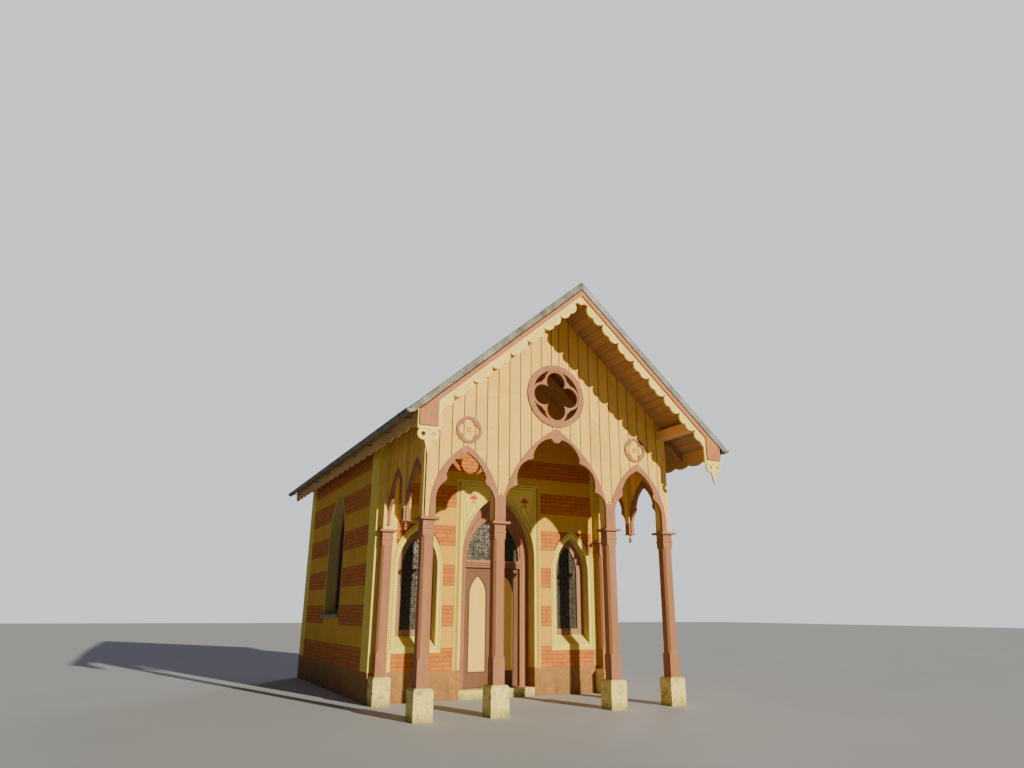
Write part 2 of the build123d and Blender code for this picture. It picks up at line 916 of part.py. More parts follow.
with BuildPart() as side_casings:
    with BuildSketch(facing_left(x_screen - casing_depth / 2)):
        with Locations(*[(y, 0) for y in bay_ys]):
            add(arcade_outer.sketch)
        with Locations(*[(y, abacus_top) for y in bay_ys]):
            add(
                symmetric_face(0, bay_half - arcade_leg, arcade_foil_foot, arcade_foils),
                mode=Mode.SUBTRACT,
            )
    extrude(amount=casing_depth)
    mirror(about=Plane.YZ)
save(side_casings, "side_casings")

with BuildPart() as side_boarding:
    with BuildSketch(facing_left(x_screen - board_thickness / 2)):
        with Locations(*[(y, (arcade_spring + plate_bottom) / 2) for y in bay_ys]):
            Rectangle(2 * bay_half, plate_bottom - arcade_spring)
        with Locations(*[(y, 0) for y in bay_ys]):
            add(arcade_outer.sketch, mode=Mode.SUBTRACT)
    extrude(amount=board_thickness)
    mirror(about=Plane.YZ)
save(side_boarding, "side_boarding")

tip_top = arcade_spring - pendant_plate
with BuildPart() as side_pendants:
    with BuildSketch(Plane.XY.offset(arcade_spring)):
        with Locations((x_screen, y_pendant)):
            Rectangle(pendant_post_width, pendant_post_width)
    extrude(amount=plate_bottom - arcade_spring)
    with BuildSketch(Plane.XY.offset(tip_top)):
        with Locations((x_screen, y_pendant)):
            Rectangle(
                pendant_post_width + 2 * pendant_plate_reach,
                pendant_post_width + 2 * pendant_plate_reach,
            )
    extrude(amount=pendant_plate)
    for depth, radius in pendant_profile:
        with BuildSketch(Plane.XY.offset(tip_top - depth)):
            with Locations((x_screen, y_pendant)):
                RegularPolygon(radius, pendant_sides)
    loft(ruled=True)
    mirror(about=Plane.YZ)
save(side_pendants, "side_pendants")

# Roof timbers
y_roof_rear = y_verge_rear - bargeboard
with BuildPart() as eaves_plates:
    with BuildSketch(facing_front(y_boards_rear)):
        with Locations((-post_outer_x, plate_bottom + plate_height / 2), (post_outer_x, plate_bottom + plate_height / 2)):
            Rectangle(post_width, plate_height)
    extrude(amount=y_boards_rear - y_roof_rear)
save(eaves_plates, "eaves_plates")

with BuildPart() as ridge_beam:
    with BuildSketch(facing_front(y_boards_rear)):
        beam_side = roof_z(ridge_beam_half_width, deck_drop)
        add(
            polygon(
                (-ridge_beam_half_width, beam_side - ridge_beam_depth),
                (ridge_beam_half_width, beam_side - ridge_beam_depth),
                (ridge_beam_half_width, beam_side),
                (0, roof_z(0, deck_drop)),
                (-ridge_beam_half_width, beam_side),
            )
        )
    extrude(amount=y_boards_rear - y_roof_rear)
save(ridge_beam, "ridge_beam")

fascia_outer = panel_outer
fascia_inner = fascia_outer - fascia


def even_places(first, last, count):
    """Middles of this many equal pieces that start at first and end at last."""
    step = (last - first - rafter_width) / (count - 1)
    return [first + rafter_width / 2 + step * place for place in range(count)]


porch_step = (porch_depth - casing_depth - rafter_width) / porch_rafters
porch_ys = [y_gable + casing_depth + rafter_width / 2 + porch_step * place for place in range(porch_rafters)]
rafter_ys = [y_boards_rear + rafter_width / 2]
rafter_ys += porch_ys
rafter_ys += even_places(y_wall + wall, y_rear - wall, nave_rafters)
rafter_ys += [y_roof_rear - rafter_width / 2]
with BuildPart() as rafters:
    with BuildSketch(facing_front(0)) as rafter_face:
        add(
            polygon(
                (ridge_beam_half_width, roof_z(ridge_beam_half_width, deck_drop)),
                (fascia_inner, roof_z(fascia_inner, deck_drop)),
                (fascia_inner, roof_z(fascia_inner, rafter_drop)),
                (ridge_beam_half_width, roof_z(ridge_beam_half_width, rafter_drop)),
            )
        )
        with Locations((post_outer_x, plate_bottom)):
            Rectangle(post_width, 2 * plate_height, mode=Mode.SUBTRACT)
        with Locations((post_outer_x, plate_bottom - plate_height)):
            Rectangle(
                2 * (chapel_half_width - post_outer_x), 2 * plate_height, mode=Mode.SUBTRACT
            )
        mirror(about=Plane.YZ)
    rafter_pair = extrude(amount=rafter_width / 2, both=True, mode=Mode.PRIVATE)
    with Locations(*[(0, y, 0) for y in rafter_ys]):
        add(rafter_pair)
save(rafters, "rafters")

# Roof deck, covering, ridge cap and flashing
def roof_layer(half_width, top, bottom, thick_front, thick_rear):
    """Layer of the roof between two vertical drops below its top face."""
    with BuildPart() as layer:
        with BuildSketch(facing_front(thick_front)):
            add(
                polygon(
                    (0, roof_z(0, top)),
                    (half_width, roof_z(half_width, top)),
                    (half_width, roof_z(half_width, bottom)),
                    (0, roof_z(0, bottom)),
                )
            )
            mirror(about=Plane.YZ)
        extrude(amount=thick_front - thick_rear)
    return layer


deck_edge = eave_half_width - deck_setback
roof_deck = roof_layer(deck_edge, covering_drop, deck_drop, y_boards_rear, y_roof_rear)
save(roof_deck, "roof_deck")
roof_covering = roof_layer(eave_half_width, 0, covering_drop, y_verge_board, y_verge_rear)
save(roof_covering, "roof_covering")
ridge_leg_x = ridge_cap_leg * cos(radians(roof_slope))
ridge_cap = roof_layer(
    ridge_leg_x, -ridge_cap_sheet * upright, 0, y_verge_front + flashing_leg, y_verge_rear
)
save(ridge_cap, "ridge_cap")

with BuildPart() as verge_flashing:
    add(
        roof_layer(
            eave_half_width,
            -flashing_sheet * upright,
            0,
            y_verge_front,
            y_verge_front + flashing_leg,
        ).part
    )
    add(
        roof_layer(eave_half_width, 0, flashing_depth, y_verge_front, y_verge_board).part
    )
save(verge_flashing, "verge_flashing")


# Verge: scalloped bargeboards that end in pierced pendants, and plain boards in front of them
def on_slope(x, depth):
    """Point this deep below the roof's top face, square to it, under the place x."""
    lean = radians(roof_slope)
    return (x - depth * sin(lean), roof_z(x) - depth * cos(lean))


scallop_step = scallop_pitch * cos(radians(roof_slope))
scallop_first = eave_half_width - scallop_setback
scallop_count = int((scallop_first - scallop_step / 4) // scallop_step) + 1
pendant_band_bottom = eave_top - pendant_band_drop
with BuildPart() as bargeboard_right:
    with BuildSketch(facing_front(y_bargeboard)):
        with BuildLine():
            strip_top = (pendant_inner, roof_z(pendant_inner, scallop_lobe * upright))
            Polyline(
                (0, roof_z(0, covering_drop)),
                (pendant_outer, roof_z(pendant_outer, covering_drop)),
                (pendant_outer, pendant_band_bottom),
                (pendant_inner, pendant_band_bottom),
                strip_top,
            )
            here = strip_top
            for unit in range(scallop_count):
                notch_x = scallop_first - unit * scallop_step
                notch = on_slope(notch_x, scallop_notch)
                kink = on_slope(notch_x + scallop_step / 2, scallop_kink)
                if unit == 0:
                    Line(here, kink)
                else:
                    faceted_arc(here, on_slope(notch_x + scallop_step * 0.8, scallop_lobe), kink)
                faceted_arc(kink, on_slope(notch_x + scallop_step * 0.2, scallop_lobe), notch)
                here = notch
            foot = (0, roof_z(0, scallop_kink * upright))
            faceted_arc(here, bowed(foot, here, -scallop_lobe / 12), foot)
            Line(foot, (0, roof_z(0, covering_drop)))
        make_face()
        with Locations(
            (pendant_centre - pendant_lobe_reach, pendant_lobe_z),
            (pendant_centre + pendant_lobe_reach, pendant_lobe_z),
        ):
            add(disc(pendant_lobe))
            add(disc(pendant_hole), mode=Mode.SUBTRACT)
        add(
            polygon(
                (pendant_centre - pendant_tip_half, pendant_lobe_z),
                (pendant_centre + pendant_tip_half, pendant_lobe_z),
                (pendant_centre + pendant_tip_half, eave_top - pendant_tip_top_drop),
                (pendant_centre, eave_top - pendant_tip_drop),
                (pendant_centre - pendant_tip_half, eave_top - pendant_tip_top_drop),
            )
        )
        with Locations(
            (pendant_centre - pendant_lobe_reach, pendant_lobe_z),
            (pendant_centre + pendant_lobe_reach, pendant_lobe_z),
        ):
            add(disc(pendant_hole), mode=Mode.SUBTRACT)
    extrude(amount=-bargeboard)
save(bargeboard_right, "bargeboard_right")
bargeboard_left = mirrored(bargeboard_right)
save(bargeboard_left, "bargeboard_left")

with BuildPart() as verge_board_right:
    with BuildSketch(facing_front(y_verge_board)):
        add(
            polygon(
                (0, roof_z(0, verge_board_top)),
                (panel_outer, roof_z(panel_outer, verge_board_top)),
                (panel_outer, panel_bottom),
                (panel_inner, panel_bottom),
                (panel_inner, roof_z(panel_inner, verge_board_bottom)),
                (0, roof_z(0, verge_board_bottom)),
            )
        )
    extrude(amount=-verge_board)
save(verge_board_right, "verge_board_right")
verge_board_left = mirrored(verge_board_right)
save(verge_board_left, "verge_board_left")

rear_bargeboards = roof_layer(
    fascia_outer, covering_drop, rear_board_depth, y_roof_rear, y_verge_rear
)
save(rear_bargeboards, "rear_bargeboards")

# Eaves: scalloped fascias and half-round gutters on brackets
with BuildPart() as eaves_fascias:
    with BuildSketch(facing_left(fascia_inner)):
        with BuildLine():
            fascia_top = roof_z(fascia_inner, deck_drop)
            fascia_notch_z = eave_top - fascia_notch_drop
            fascia_lobe_z = eave_top - fascia_lobe_drop
            step = (y_roof_rear - y_boards_rear) / fascia_scallops
            Polyline(
                (y_boards_rear, fascia_notch_z),
                (y_boards_rear, fascia_top),
                (y_roof_rear, fascia_top),
                (y_roof_rear, fascia_notch_z),
            )
            for unit in range(fascia_scallops):
                start = y_boards_rear + unit * step
                faceted_arc(
                    (start, fascia_notch_z),
                    (start + step / 2, fascia_lobe_z),
                    (start + step, fascia_notch_z),
                )
        make_face()
    extrude(amount=fascia)
    with BuildSketch(facing_front(y_boards_rear)):
        add(
            polygon(
                (fascia_inner, roof_z(fascia_inner, deck_drop)),
                (eave_half_width, roof_z(eave_half_width, deck_drop)),
                (eave_half_width, roof_z(fascia_inner, 0)),
                (fascia_inner, roof_z(fascia_inner, 0)),
            )
        )
    extrude(amount=y_boards_rear - y_roof_rear, mode=Mode.SUBTRACT)
    mirror(about=Plane.YZ)
save(eaves_fascias, "eaves_fascias")

gutter_x = eave_half_width + gutter_out
gutter_top = eave_top - gutter_drop
y_gutter_front = y_verge_front - 2 * gutter_sheet
y_gutter_rear = y_verge_rear + 2 * gutter_sheet
with BuildPart() as gutters:
    with BuildSketch(facing_front(y_gutter_front)) as gutter_end:
        with BuildLine():
            Polyline((gutter_x - gutter_radius, gutter_top), (gutter_x + gutter_radius, gutter_top))
            ThreePointArc(
                (gutter_x + gutter_radius, gutter_top),
                (gutter_x, gutter_top - gutter_radius),
                (gutter_x - gutter_radius, gutter_top),
            )
        make_face()
    extrude(amount=y_gutter_front - y_gutter_rear)
    with BuildSketch(facing_front(y_gutter_front + gutter_sheet)):
        with BuildLine():
            bore = gutter_radius - gutter_sheet
            Polyline((gutter_x - bore, gutter_top), (gutter_x + bore, gutter_top))
            ThreePointArc(
                (gutter_x + bore, gutter_top),
                (gutter_x, gutter_top - bore),
                (gutter_x - bore, gutter_top),
            )
        make_face()
    extrude(amount=y_gutter_front - y_gutter_rear + 2 * gutter_sheet, mode=Mode.SUBTRACT)
    mirror(about=Plane.YZ)
save(gutters, "gutters")

strap_outside = (gutter_radius + gutter_sheet) / cos(pi / strap_bends)
strap_inside = gutter_radius / cos(pi / strap_bends)
bracket_step = (y_roof_rear - y_boards_rear - 2 * gutter_bracket_end) / (gutter_bracket_count - 1)
with BuildPart() as gutter_brackets:
    for place in range(gutter_bracket_count):
        y = y_boards_rear + gutter_bracket_end + place * bracket_step
        with BuildSketch(facing_front(y - gutter_bracket / 2)):
            with Locations((gutter_x, gutter_top)):
                RegularPolygon(strap_outside, strap_bends)
            with Locations(((fascia_outer + gutter_x) / 2, gutter_top - 0.8 * gutter_radius)):
                Rectangle(gutter_x - fascia_outer, gutter_bracket / 2)
            with Locations((gutter_x, gutter_top + strap_outside)):
                Rectangle(4 * strap_outside, 2 * strap_outside, mode=Mode.SUBTRACT)
            with Locations((gutter_x, gutter_top)):
                RegularPolygon(strap_inside, strap_bends, mode=Mode.SUBTRACT)
        extrude(amount=-gutter_bracket)
    mirror(about=Plane.YZ)
save(gutter_brackets, "gutter_brackets")
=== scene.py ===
import json
from math import atan2, cos, hypot, pi, radians, sin, sqrt, tan
import random

import bmesh
import bpy
from mathutils import Matrix, Vector


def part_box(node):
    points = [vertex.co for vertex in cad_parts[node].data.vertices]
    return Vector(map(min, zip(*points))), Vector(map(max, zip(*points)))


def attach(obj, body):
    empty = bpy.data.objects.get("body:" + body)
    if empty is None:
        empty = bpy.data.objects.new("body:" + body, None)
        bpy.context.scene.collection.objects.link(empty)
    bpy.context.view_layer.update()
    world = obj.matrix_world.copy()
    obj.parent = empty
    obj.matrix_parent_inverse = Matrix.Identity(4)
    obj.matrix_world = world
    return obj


# Small chapel with an open timber porch, in metres. +Z is up and the porch faces -Y.
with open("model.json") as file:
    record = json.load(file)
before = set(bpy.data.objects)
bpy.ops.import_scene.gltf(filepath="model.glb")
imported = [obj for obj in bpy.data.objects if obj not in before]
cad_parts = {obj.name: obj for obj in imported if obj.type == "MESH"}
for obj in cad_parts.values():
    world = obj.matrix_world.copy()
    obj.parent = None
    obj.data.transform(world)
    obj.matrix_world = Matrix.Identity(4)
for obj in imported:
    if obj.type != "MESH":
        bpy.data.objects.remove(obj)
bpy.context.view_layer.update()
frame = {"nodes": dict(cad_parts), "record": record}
nodes = frame["nodes"]

# Places read from the frame
left_x, wall_y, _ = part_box("front_wall_left")[0]
half_width = -left_x
rear_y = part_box("rear_wall")[1].y
boards_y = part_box("gable_boarding")[0].y
eave_x, verge_rear_y, ridge_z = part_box("roof_covering")[1]
verge_front_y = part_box("verge_flashing")[0].y
verge_board_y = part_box("verge_board_left")[0].y
verge_board_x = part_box("verge_board_right")[1].x
deck_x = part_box("roof_deck")[1].x
ridge_cap_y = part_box("ridge_cap")[0].y
gutter_start, gutter_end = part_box("gutters")
frame_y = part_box("door_frame")[0].y
leaf_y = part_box("door_leaf_left")[0].y
floor_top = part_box("floor_slab")[1].z
abacus_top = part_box("arch_casing_centre")[0].z

# Roof
roof_lean = radians(41.35)
slope = tan(roof_lean)
along_slope = Vector((cos(roof_lean), 0, -sin(roof_lean)))
out_of_slope = Vector((sin(roof_lean), 0, cos(roof_lean)))
slope_length = eave_x / cos(roof_lean)
deck_underside = 0.093
soffit_board = 0.148
soffit_gap = 0.007
soffit_proud = 0.004
ridge_cap_leg = 0.130
flashing_leg = 0.090
lap_depth = 0.115

# Openings and panes: half width, bottom, springing line and side radius
front_window = (0.365, 1.030, 2.200, 0.745)
front_light = (0.225, 1.140, 2.200, 0.605)
side_window = (0.600, 1.400, 2.780, 1.250)
side_light = (0.525, 1.475, 2.780, 1.175)
doorway = (0.745, floor_top, 2.420, 1.250)
door_light = (0.565, 2.355, 2.420, 1.070)
sash_outside = (0.565, 2.356, 2.420, 1.070)
sash_inside = (0.532, 2.360, 2.400, 0.810)
door_panel = (0.165, 0.420, 1.737, 0.420)

# Leading: thickness of the glass, and pitch across and rise of the rows
front_leading = (0.010, 0.090, 0.092)
side_leading = (0.010, 0.105, 0.105)
door_leading = (0.012, 0.112, 0.117)

# Places of the windows
front_window_x = 1.575
side_window_y = (wall_y + rear_y) / 2

# Painted bands of the walls: a plinth, then brick and ochre in turn
plinth_top = 0.481
bands = (0.481, 0.840, 1.198, 1.543, 1.886, 2.234, 2.574, 2.925, 3.270, 3.650, 3.940, 4.280)
brick_bands = tuple(zip(bands[::2], bands[1::2]))
band_line = 0.005
band_courses = 5
brick_length = 0.235
shortest_brick = 0.02
brick_joint = 0.009
brick_proud = 0.0025

# Painted strips and borders; a pair gives the left and the right one
corner_strip_side = 0.447
corner_strip_front = (1.990, 2.045)
paint_proud = 0.0025
sink = 0.001
line_radius = 0.004
line_out = 0.001
bead_radius = 0.006
window_border = 0.108
window_border_foot = 0.763
window_sill_foot = 0.865
sill_depth = 0.200
side_border = 0.050
side_patch = (0.660, 0.840, 1.400)

# Painted frame round the doorway, from the centre line and the ground
frame_inner_x, frame_outer_x, frame_inner_top, frame_outer_top = 0.790, 0.884, 3.754, 3.800
frame_spring = 2.55
band_inner_x, band_outer_x = 0.797, 0.834
band_drop = 0.03

# Ticks in the borders
tick_pitch = 0.042
tick_width = 0.017
tick_depth = 0.003

# Boards of the porch, measured from the centre line
board_first_joint = 0.0745
board_pitch = 0.2007
board_gap = 0.017
board_proud = 0.007

# Camera of the photograph
camera_place = (-5.942, -13.521, 1.45)
camera_focal_px = 712.63
camera_pitch = 0.3089
camera_yaw = 0.4695
camera_roll = 0.0051
photo_width_px = 1024
sensor_width = 36


def paint(red, green, blue):
    """Linear colour of a paint given in 0-255 steps, as a colour card gives it."""
    def linear(step):
        share = step / 255
        return share / 12.92 if share <= 0.04045 else ((share + 0.055) / 1.055) ** 2.4
    return (linear(red), linear(green), linear(blue), 1.0)


class Finish:
    """A surface finish whose colour, roughness and relief are worked out by nodes."""

    def __init__(self, name, roughness=0.7, metallic=0.0):
        self.material = bpy.data.materials.new(name)
        self.material.use_nodes = True
        self.tree = self.material.node_tree
        self.shader = self.tree.nodes["Principled BSDF"]
        self.shader.inputs["Roughness"].default_value = roughness
        self.shader.inputs["Metallic"].default_value = metallic
        self.place = self.node("ShaderNodeTexCoord").outputs["Object"]
        split = self.node("ShaderNodeSeparateXYZ")
        self.feed(self.place, split.inputs[0])
        self.x, self.y, self.z = split.outputs

    def node(self, kind, **settings):
        made = self.tree.nodes.new(kind)
        for key, value in settings.items():
            setattr(made, key, value)
        return made

    def feed(self, source, socket):
        """Link an output, or set a plain value."""
        if isinstance(source, bpy.types.NodeSocket):
            self.tree.links.new(source, socket)
        else:
            socket.default_value = source

    def maths(self, operation, first, second=0.0):
        made = self.node("ShaderNodeMath", operation=operation)
        self.feed(first, made.inputs[0])
        self.feed(second, made.inputs[1])
        return made.outputs[0]

    def above(self, value, limit):
        return self.maths("GREATER_THAN", value, limit)

    def below(self, value, limit):
        return self.maths("LESS_THAN", value, limit)

    def between(self, value, low, high):
        return self.every(self.above(value, low), self.below(value, high))

    def outside(self, value, low, high):
        return self.any_of(self.below(value, low), self.above(value, high))

    def every(self, first, *others):
        for other in others:
            first = self.maths("MULTIPLY", first, other)
        return first

    def any_of(self, first, *others):
        for other in others:
            first = self.maths("MAXIMUM", first, other)
        return first

    def away(self, value, centre=0.0):
        """Distance from a place, on either side."""
        return self.maths("ABSOLUTE", self.maths("SUBTRACT", value, centre))

    def sum(self, first, second, weight=1.0):
        return self.maths("ADD", first, self.maths("MULTIPLY", second, weight))

    def noise(self, scale, stretch=(1, 1, 1), detail=4.0, rough=0.55, shift=(0, 0, 0)):
        """Even noise between about 0.3 and 0.7; stretch below 1 draws it out along that axis."""
        mapping = self.node("ShaderNodeMapping")
        self.feed(self.place, mapping.inputs["Vector"])
        mapping.inputs["Location"].default_value = shift
        mapping.inputs["Scale"].default_value = stretch
        made = self.node("ShaderNodeTexNoise")
        self.feed(mapping.outputs[0], made.inputs["Vector"])
        made.inputs["Scale"].default_value = scale
        made.inputs["Detail"].default_value = detail
        made.inputs["Roughness"].default_value = rough
        return made.outputs["Fac"]

    def spread(self, value, low=0.3, high=0.7, to_low=0.0, to_high=1.0):
        """Stretch part of a range to another, and stop at its ends."""
        made = self.node("ShaderNodeMapRange")
        for source, socket in zip((value, low, high, to_low, to_high), range(5)):
            self.feed(source, made.inputs[socket])
        return made.outputs[0]

    def mix(self, share, first, second):
        made = self.node("ShaderNodeMix", data_type="RGBA")
        self.feed(share, made.inputs[0])
        self.feed(first, made.inputs[6])
        self.feed(second, made.inputs[7])
        return made.outputs[2]

    def cover(self, base, second, mask, start, full, most=1.0):
        """Lay a second colour over the base where the mask rises from start to full."""
        return self.mix(self.spread(mask, start, full, 0.0, most), base, second)

    def island(self):
        """A number from 0 to 1 that differs from one loose part of the piece to the next."""
        return self.node("ShaderNodeNewGeometry").outputs["Random Per Island"]

    def shade(self, colour, share, amount):
        """Lighten and darken a colour by a 0-1 share around one half."""
        made = self.node("ShaderNodeHueSaturation")
        self.feed(self.spread(share, 0.0, 1.0, 1.0 - amount, 1.0 + amount), made.inputs["Value"])
        self.feed(colour, made.inputs["Color"])
        return made.outputs[0]

    def colour(self, source):
        self.feed(source, self.shader.inputs["Base Color"])

    def gloss(self, source, low, high):
        self.feed(self.spread(source, to_low=low, to_high=high), self.shader.inputs["Roughness"])

    def relief(self, height, distance, strength):
        made = self.node("ShaderNodeBump")
        made.inputs["Strength"].default_value = strength
        made.inputs["Distance"].default_value = distance
        self.feed(height, made.inputs["Height"])
        self.feed(made.outputs[0], self.shader.inputs["Normal"])


# Paints
mauve = paint(164, 110, 76)
mauve_worn = paint(180, 126, 94)
mauve_dark = paint(100, 66, 48)
board_yellow = paint(240, 192, 80)
board_stain = paint(200, 150, 72)
board_shadow = paint(66, 42, 20)
cream = paint(248, 222, 118)
cream_tan = paint(236, 200, 106)
salmon = paint(184, 116, 72)
ochre = paint(218, 168, 56)
brick_red = paint(196, 112, 42)
brick_orange = paint(206, 130, 50)
joint_red = paint(146, 70, 30)
border_yellow = paint(236, 216, 96)
# The reveals' yellow is the border yellow made duller: painted shade
reveal_shaded_yellow = paint(202, 184, 112)
plinth_brown = paint(164, 120, 68)
plaster_white = paint(222, 208, 180)
grey_dirt = paint(72, 62, 52)


# Finishes
def painted_timber(name, body, worn, dirt, along=(1, 1, 0.06), upper=None):
    """Old oil paint on timber: grain along one axis, faint worn streaks and specks of dirt.

    upper is (height, body, worn) where a second paint starts at a height.
    """
    roughness = 0.72
    made = Finish(name, roughness)
    if upper:
        change = made.above(made.z, upper[0])
        body = made.mix(change, body, upper[1])
        worn = made.mix(change, worn, upper[2])
    grain = made.noise(46, along, 6, 0.62)
    streak = made.noise(16, along, 3, 0.5, (3.1, 1.7, 0.4))
    patch = made.noise(1.7, (1, 1, 0.6), 4, 0.5, (5, 2, 7))
    speck = made.noise(38, detail=5, rough=0.7, shift=(2, 9, 4))
    shade = made.shade(body, made.island(), 0.10)
    faded = made.cover(shade, worn, patch, 0.35, 0.7, 0.30)
    streaked = made.cover(faded, worn, streak, 0.50, 0.74, 0.25)
    fine = made.mix(made.spread(grain, 0.34, 0.60, 0.22, 0.0), streaked, dirt)
    made.colour(made.cover(fine, dirt, speck, 0.64, 0.74, 0.45))
    made.gloss(streak, roughness - 0.12, roughness + 0.12)
    made.relief(made.sum(grain, streak, 1.2), 0.0010, 0.5)
    return made.material


def banded_wall():
    """Lime paint in bands, a brown plinth, cream corner strips, and bare plaster inside."""
    made = Finish("banded wall paint", 0.86)
    x, y, z = made.x, made.y, made.z
    across = made.away(x)
    mottle = made.noise(2.6, detail=6, rough=0.6)
    drips = made.noise(7, (1, 1, 0.10), 5, 0.6)
    grain = made.spread(mottle)
    ochre_paint = made.shade(ochre, grain, 0.09)

    # Ground of the brick bands, and a thin line along the edge of every band
    brick = [made.between(z, low, high) for low, high in brick_bands]
    lines = [made.below(made.away(z, height), band_line) for height in bands[1:]]
    colour = made.mix(made.any_of(*brick, *lines), ochre_paint, joint_red)

    # Cream corner strips, and the pale field of the doorway with its spandrels
    skin = 0.006
    side_face = made.above(across, half_width - skin)
    front_face = made.below(y, wall_y + skin)
    rear_face = made.above(y, rear_y - skin)
    strips = made.any_of(
        made.every(side_face, made.outside(y, wall_y + corner_strip_side, rear_y - corner_strip_side)),
        made.every(rear_face, made.above(across, half_width - corner_strip_side)),
        made.every(front_face, made.outside(x, -corner_strip_front[0], corner_strip_front[1])),
        made.every(front_face, made.below(across, frame_outer_x), made.below(z, frame_outer_top)),
    )
    colour = made.mix(strips, colour, made.shade(border_yellow, grain, 0.07))

    # The ochre patch under each side window, and plain reveals in the openings in a duller copy of the
    # border yellow, as painted shade
    beside = made.away(y, side_window_y)
    patch_half, patch_low, patch_high = side_patch
    patch = made.every(side_face, made.below(beside, patch_half), made.between(z, patch_low, patch_high))
    colour = made.mix(patch, colour, ochre_paint)
    edge, front_depth, side_depth = 0.004, 0.25, 0.20
    in_front_wall = made.between(y, wall_y + edge, wall_y + front_depth)
    reveals = made.any_of(
        made.every(in_front_wall, made.below(across, half_width - 0.01)),
        made.every(
            made.between(across, half_width - side_depth, half_width - edge),
            made.below(beside, side_window[0] + 0.01),
            made.above(z, side_window[1] - 0.01),
        ),
    )
    colour = made.mix(reveals, colour, made.shade(reveal_shaded_yellow, grain, 0.10))

    rough_brown = made.shade(plinth_brown, made.spread(made.noise(14, detail=6)), 0.20)
    colour = made.mix(made.below(z, plinth_top), colour, rough_brown)
    inside = made.every(made.below(across, half_width - 0.24), made.between(y, wall_y + 0.26, rear_y - 0.2))
    colour = made.mix(inside, colour, made.shade(plaster_white, grain, 0.08))

    # Splashes near the ground, and drips that grow stronger towards the eaves
    splash = made.every(made.spread(z, 0.0, 0.5, 0.42, 0.0), made.spread(drips, 0.35, 0.6))
    stain = made.every(made.spread(drips, 0.55, 0.75, 0.0, 0.22), made.spread(z, 1.0, 4.2))
    made.colour(made.mix(stain, made.mix(splash, colour, grey_dirt), grey_dirt))
    made.gloss(mottle, 0.80, 0.94)
    made.relief(made.sum(made.noise(60, detail=5, rough=0.65), mottle, 2.0), 0.0015, 0.6)
    return made.material


def limestone(name, body):
    """Pale weathered stone with pits, lichen and a dark foot."""
    made = Finish(name, 0.9)
    cloud = made.noise(5, detail=8, rough=0.7)
    pits = made.noise(26, detail=8, rough=0.75)
    stone = made.shade(body, made.spread(cloud), 0.18)
    pitted = made.cover(stone, paint(112, 96, 74), pits, 0.5, 0.68, 0.75)
    lichen = made.cover(pitted, paint(96, 98, 72), made.noise(9, shift=(4, 4, 1)), 0.56, 0.66, 0.5)
    foot = made.every(made.spread(made.z, 0.0, 0.16, 0.7, 0.0), made.spread(cloud, 0.35, 0.6, 0.4, 1.0))
    made.colour(made.mix(foot, lichen, paint(78, 70, 46)))
    made.relief(made.sum(pits, made.noise(160, detail=3), 0.3), 0.006, 0.8)
    return made.material


def flat_paint(name, body, mottling=0.15, dirt=0.25, roughness=0.85):
    """Lime or oil paint in one colour on a wall piece."""
    made = Finish(name, roughness)
    mottle = made.noise(6, detail=6, rough=0.6)
    drips = made.noise(8, (1, 1, 0.12), 5, 0.6)
    shade = made.shade(body, made.spread(mottle), mottling)
    made.colour(made.cover(shade, grey_dirt, drips, 0.55, 0.75, dirt))
    made.gloss(mottle, roughness - 0.08, roughness + 0.08)
    made.relief(made.noise(70, detail=5, rough=0.65), 0.001, 0.6)
    return made.material


def painted_brick():
    """Orange-red painted bricks, each a little different."""
    made = Finish("painted brick", 0.84)
    shade = made.shade(brick_red, made.island(), 0.14)
    mixed = made.cover(shade, brick_orange, made.noise(9, detail=6, rough=0.65), 0.42, 0.66, 0.8)
    made.colour(made.cover(mixed, joint_red, made.noise(34, detail=6), 0.58, 0.72, 0.30))
    made.relief(made.noise(90, detail=5, rough=0.7), 0.0015, 0.8)
    return made.material


def clay_tile():
    """Old brown-red clay roof tiles with lichen."""
    made = Finish("old clay tile", 0.88)
    shade = made.shade(paint(116, 66, 46), made.island(), 0.32)
    soot = made.cover(shade, paint(62, 46, 40), made.noise(3, detail=6), 0.4, 0.65, 0.6)
    lichen = made.noise(24, detail=7, rough=0.75)
    made.colour(made.cover(soot, paint(128, 126, 98), lichen, 0.60, 0.70, 0.7))
    made.relief(lichen, 0.002, 0.7)
    return made.material


def sheet_zinc(name, light, dark, runs_colour):
    """Dull grey zinc with a matt bloom and runs."""
    made = Finish(name, 0.62, 0.30)
    cloud = made.noise(3.2, detail=6, rough=0.65)
    runs = made.noise(22, (1, 1, 0.3), 5)
    base = made.shade(made.cover(light, dark, cloud, 0.35, 0.65), made.island(), 0.16)
    made.colour(made.cover(base, runs_colour, runs, 0.55, 0.72, 0.45))
    made.gloss(cloud, 0.50, 0.74)
    made.relief(made.noise(5, detail=3), 0.002, 0.4)
    return made.material


def black_iron():
    """Dark wrought iron with a little rust."""
    made = Finish("black iron", 0.55, 0.6)
    speck = made.noise(80, detail=6)
    made.colour(made.cover(paint(34, 32, 32), paint(92, 54, 36), speck, 0.55, 0.7, 0.6))
    made.gloss(speck, 0.45, 0.7)
    made.relief(speck, 0.0008, 0.6)
    return made.material


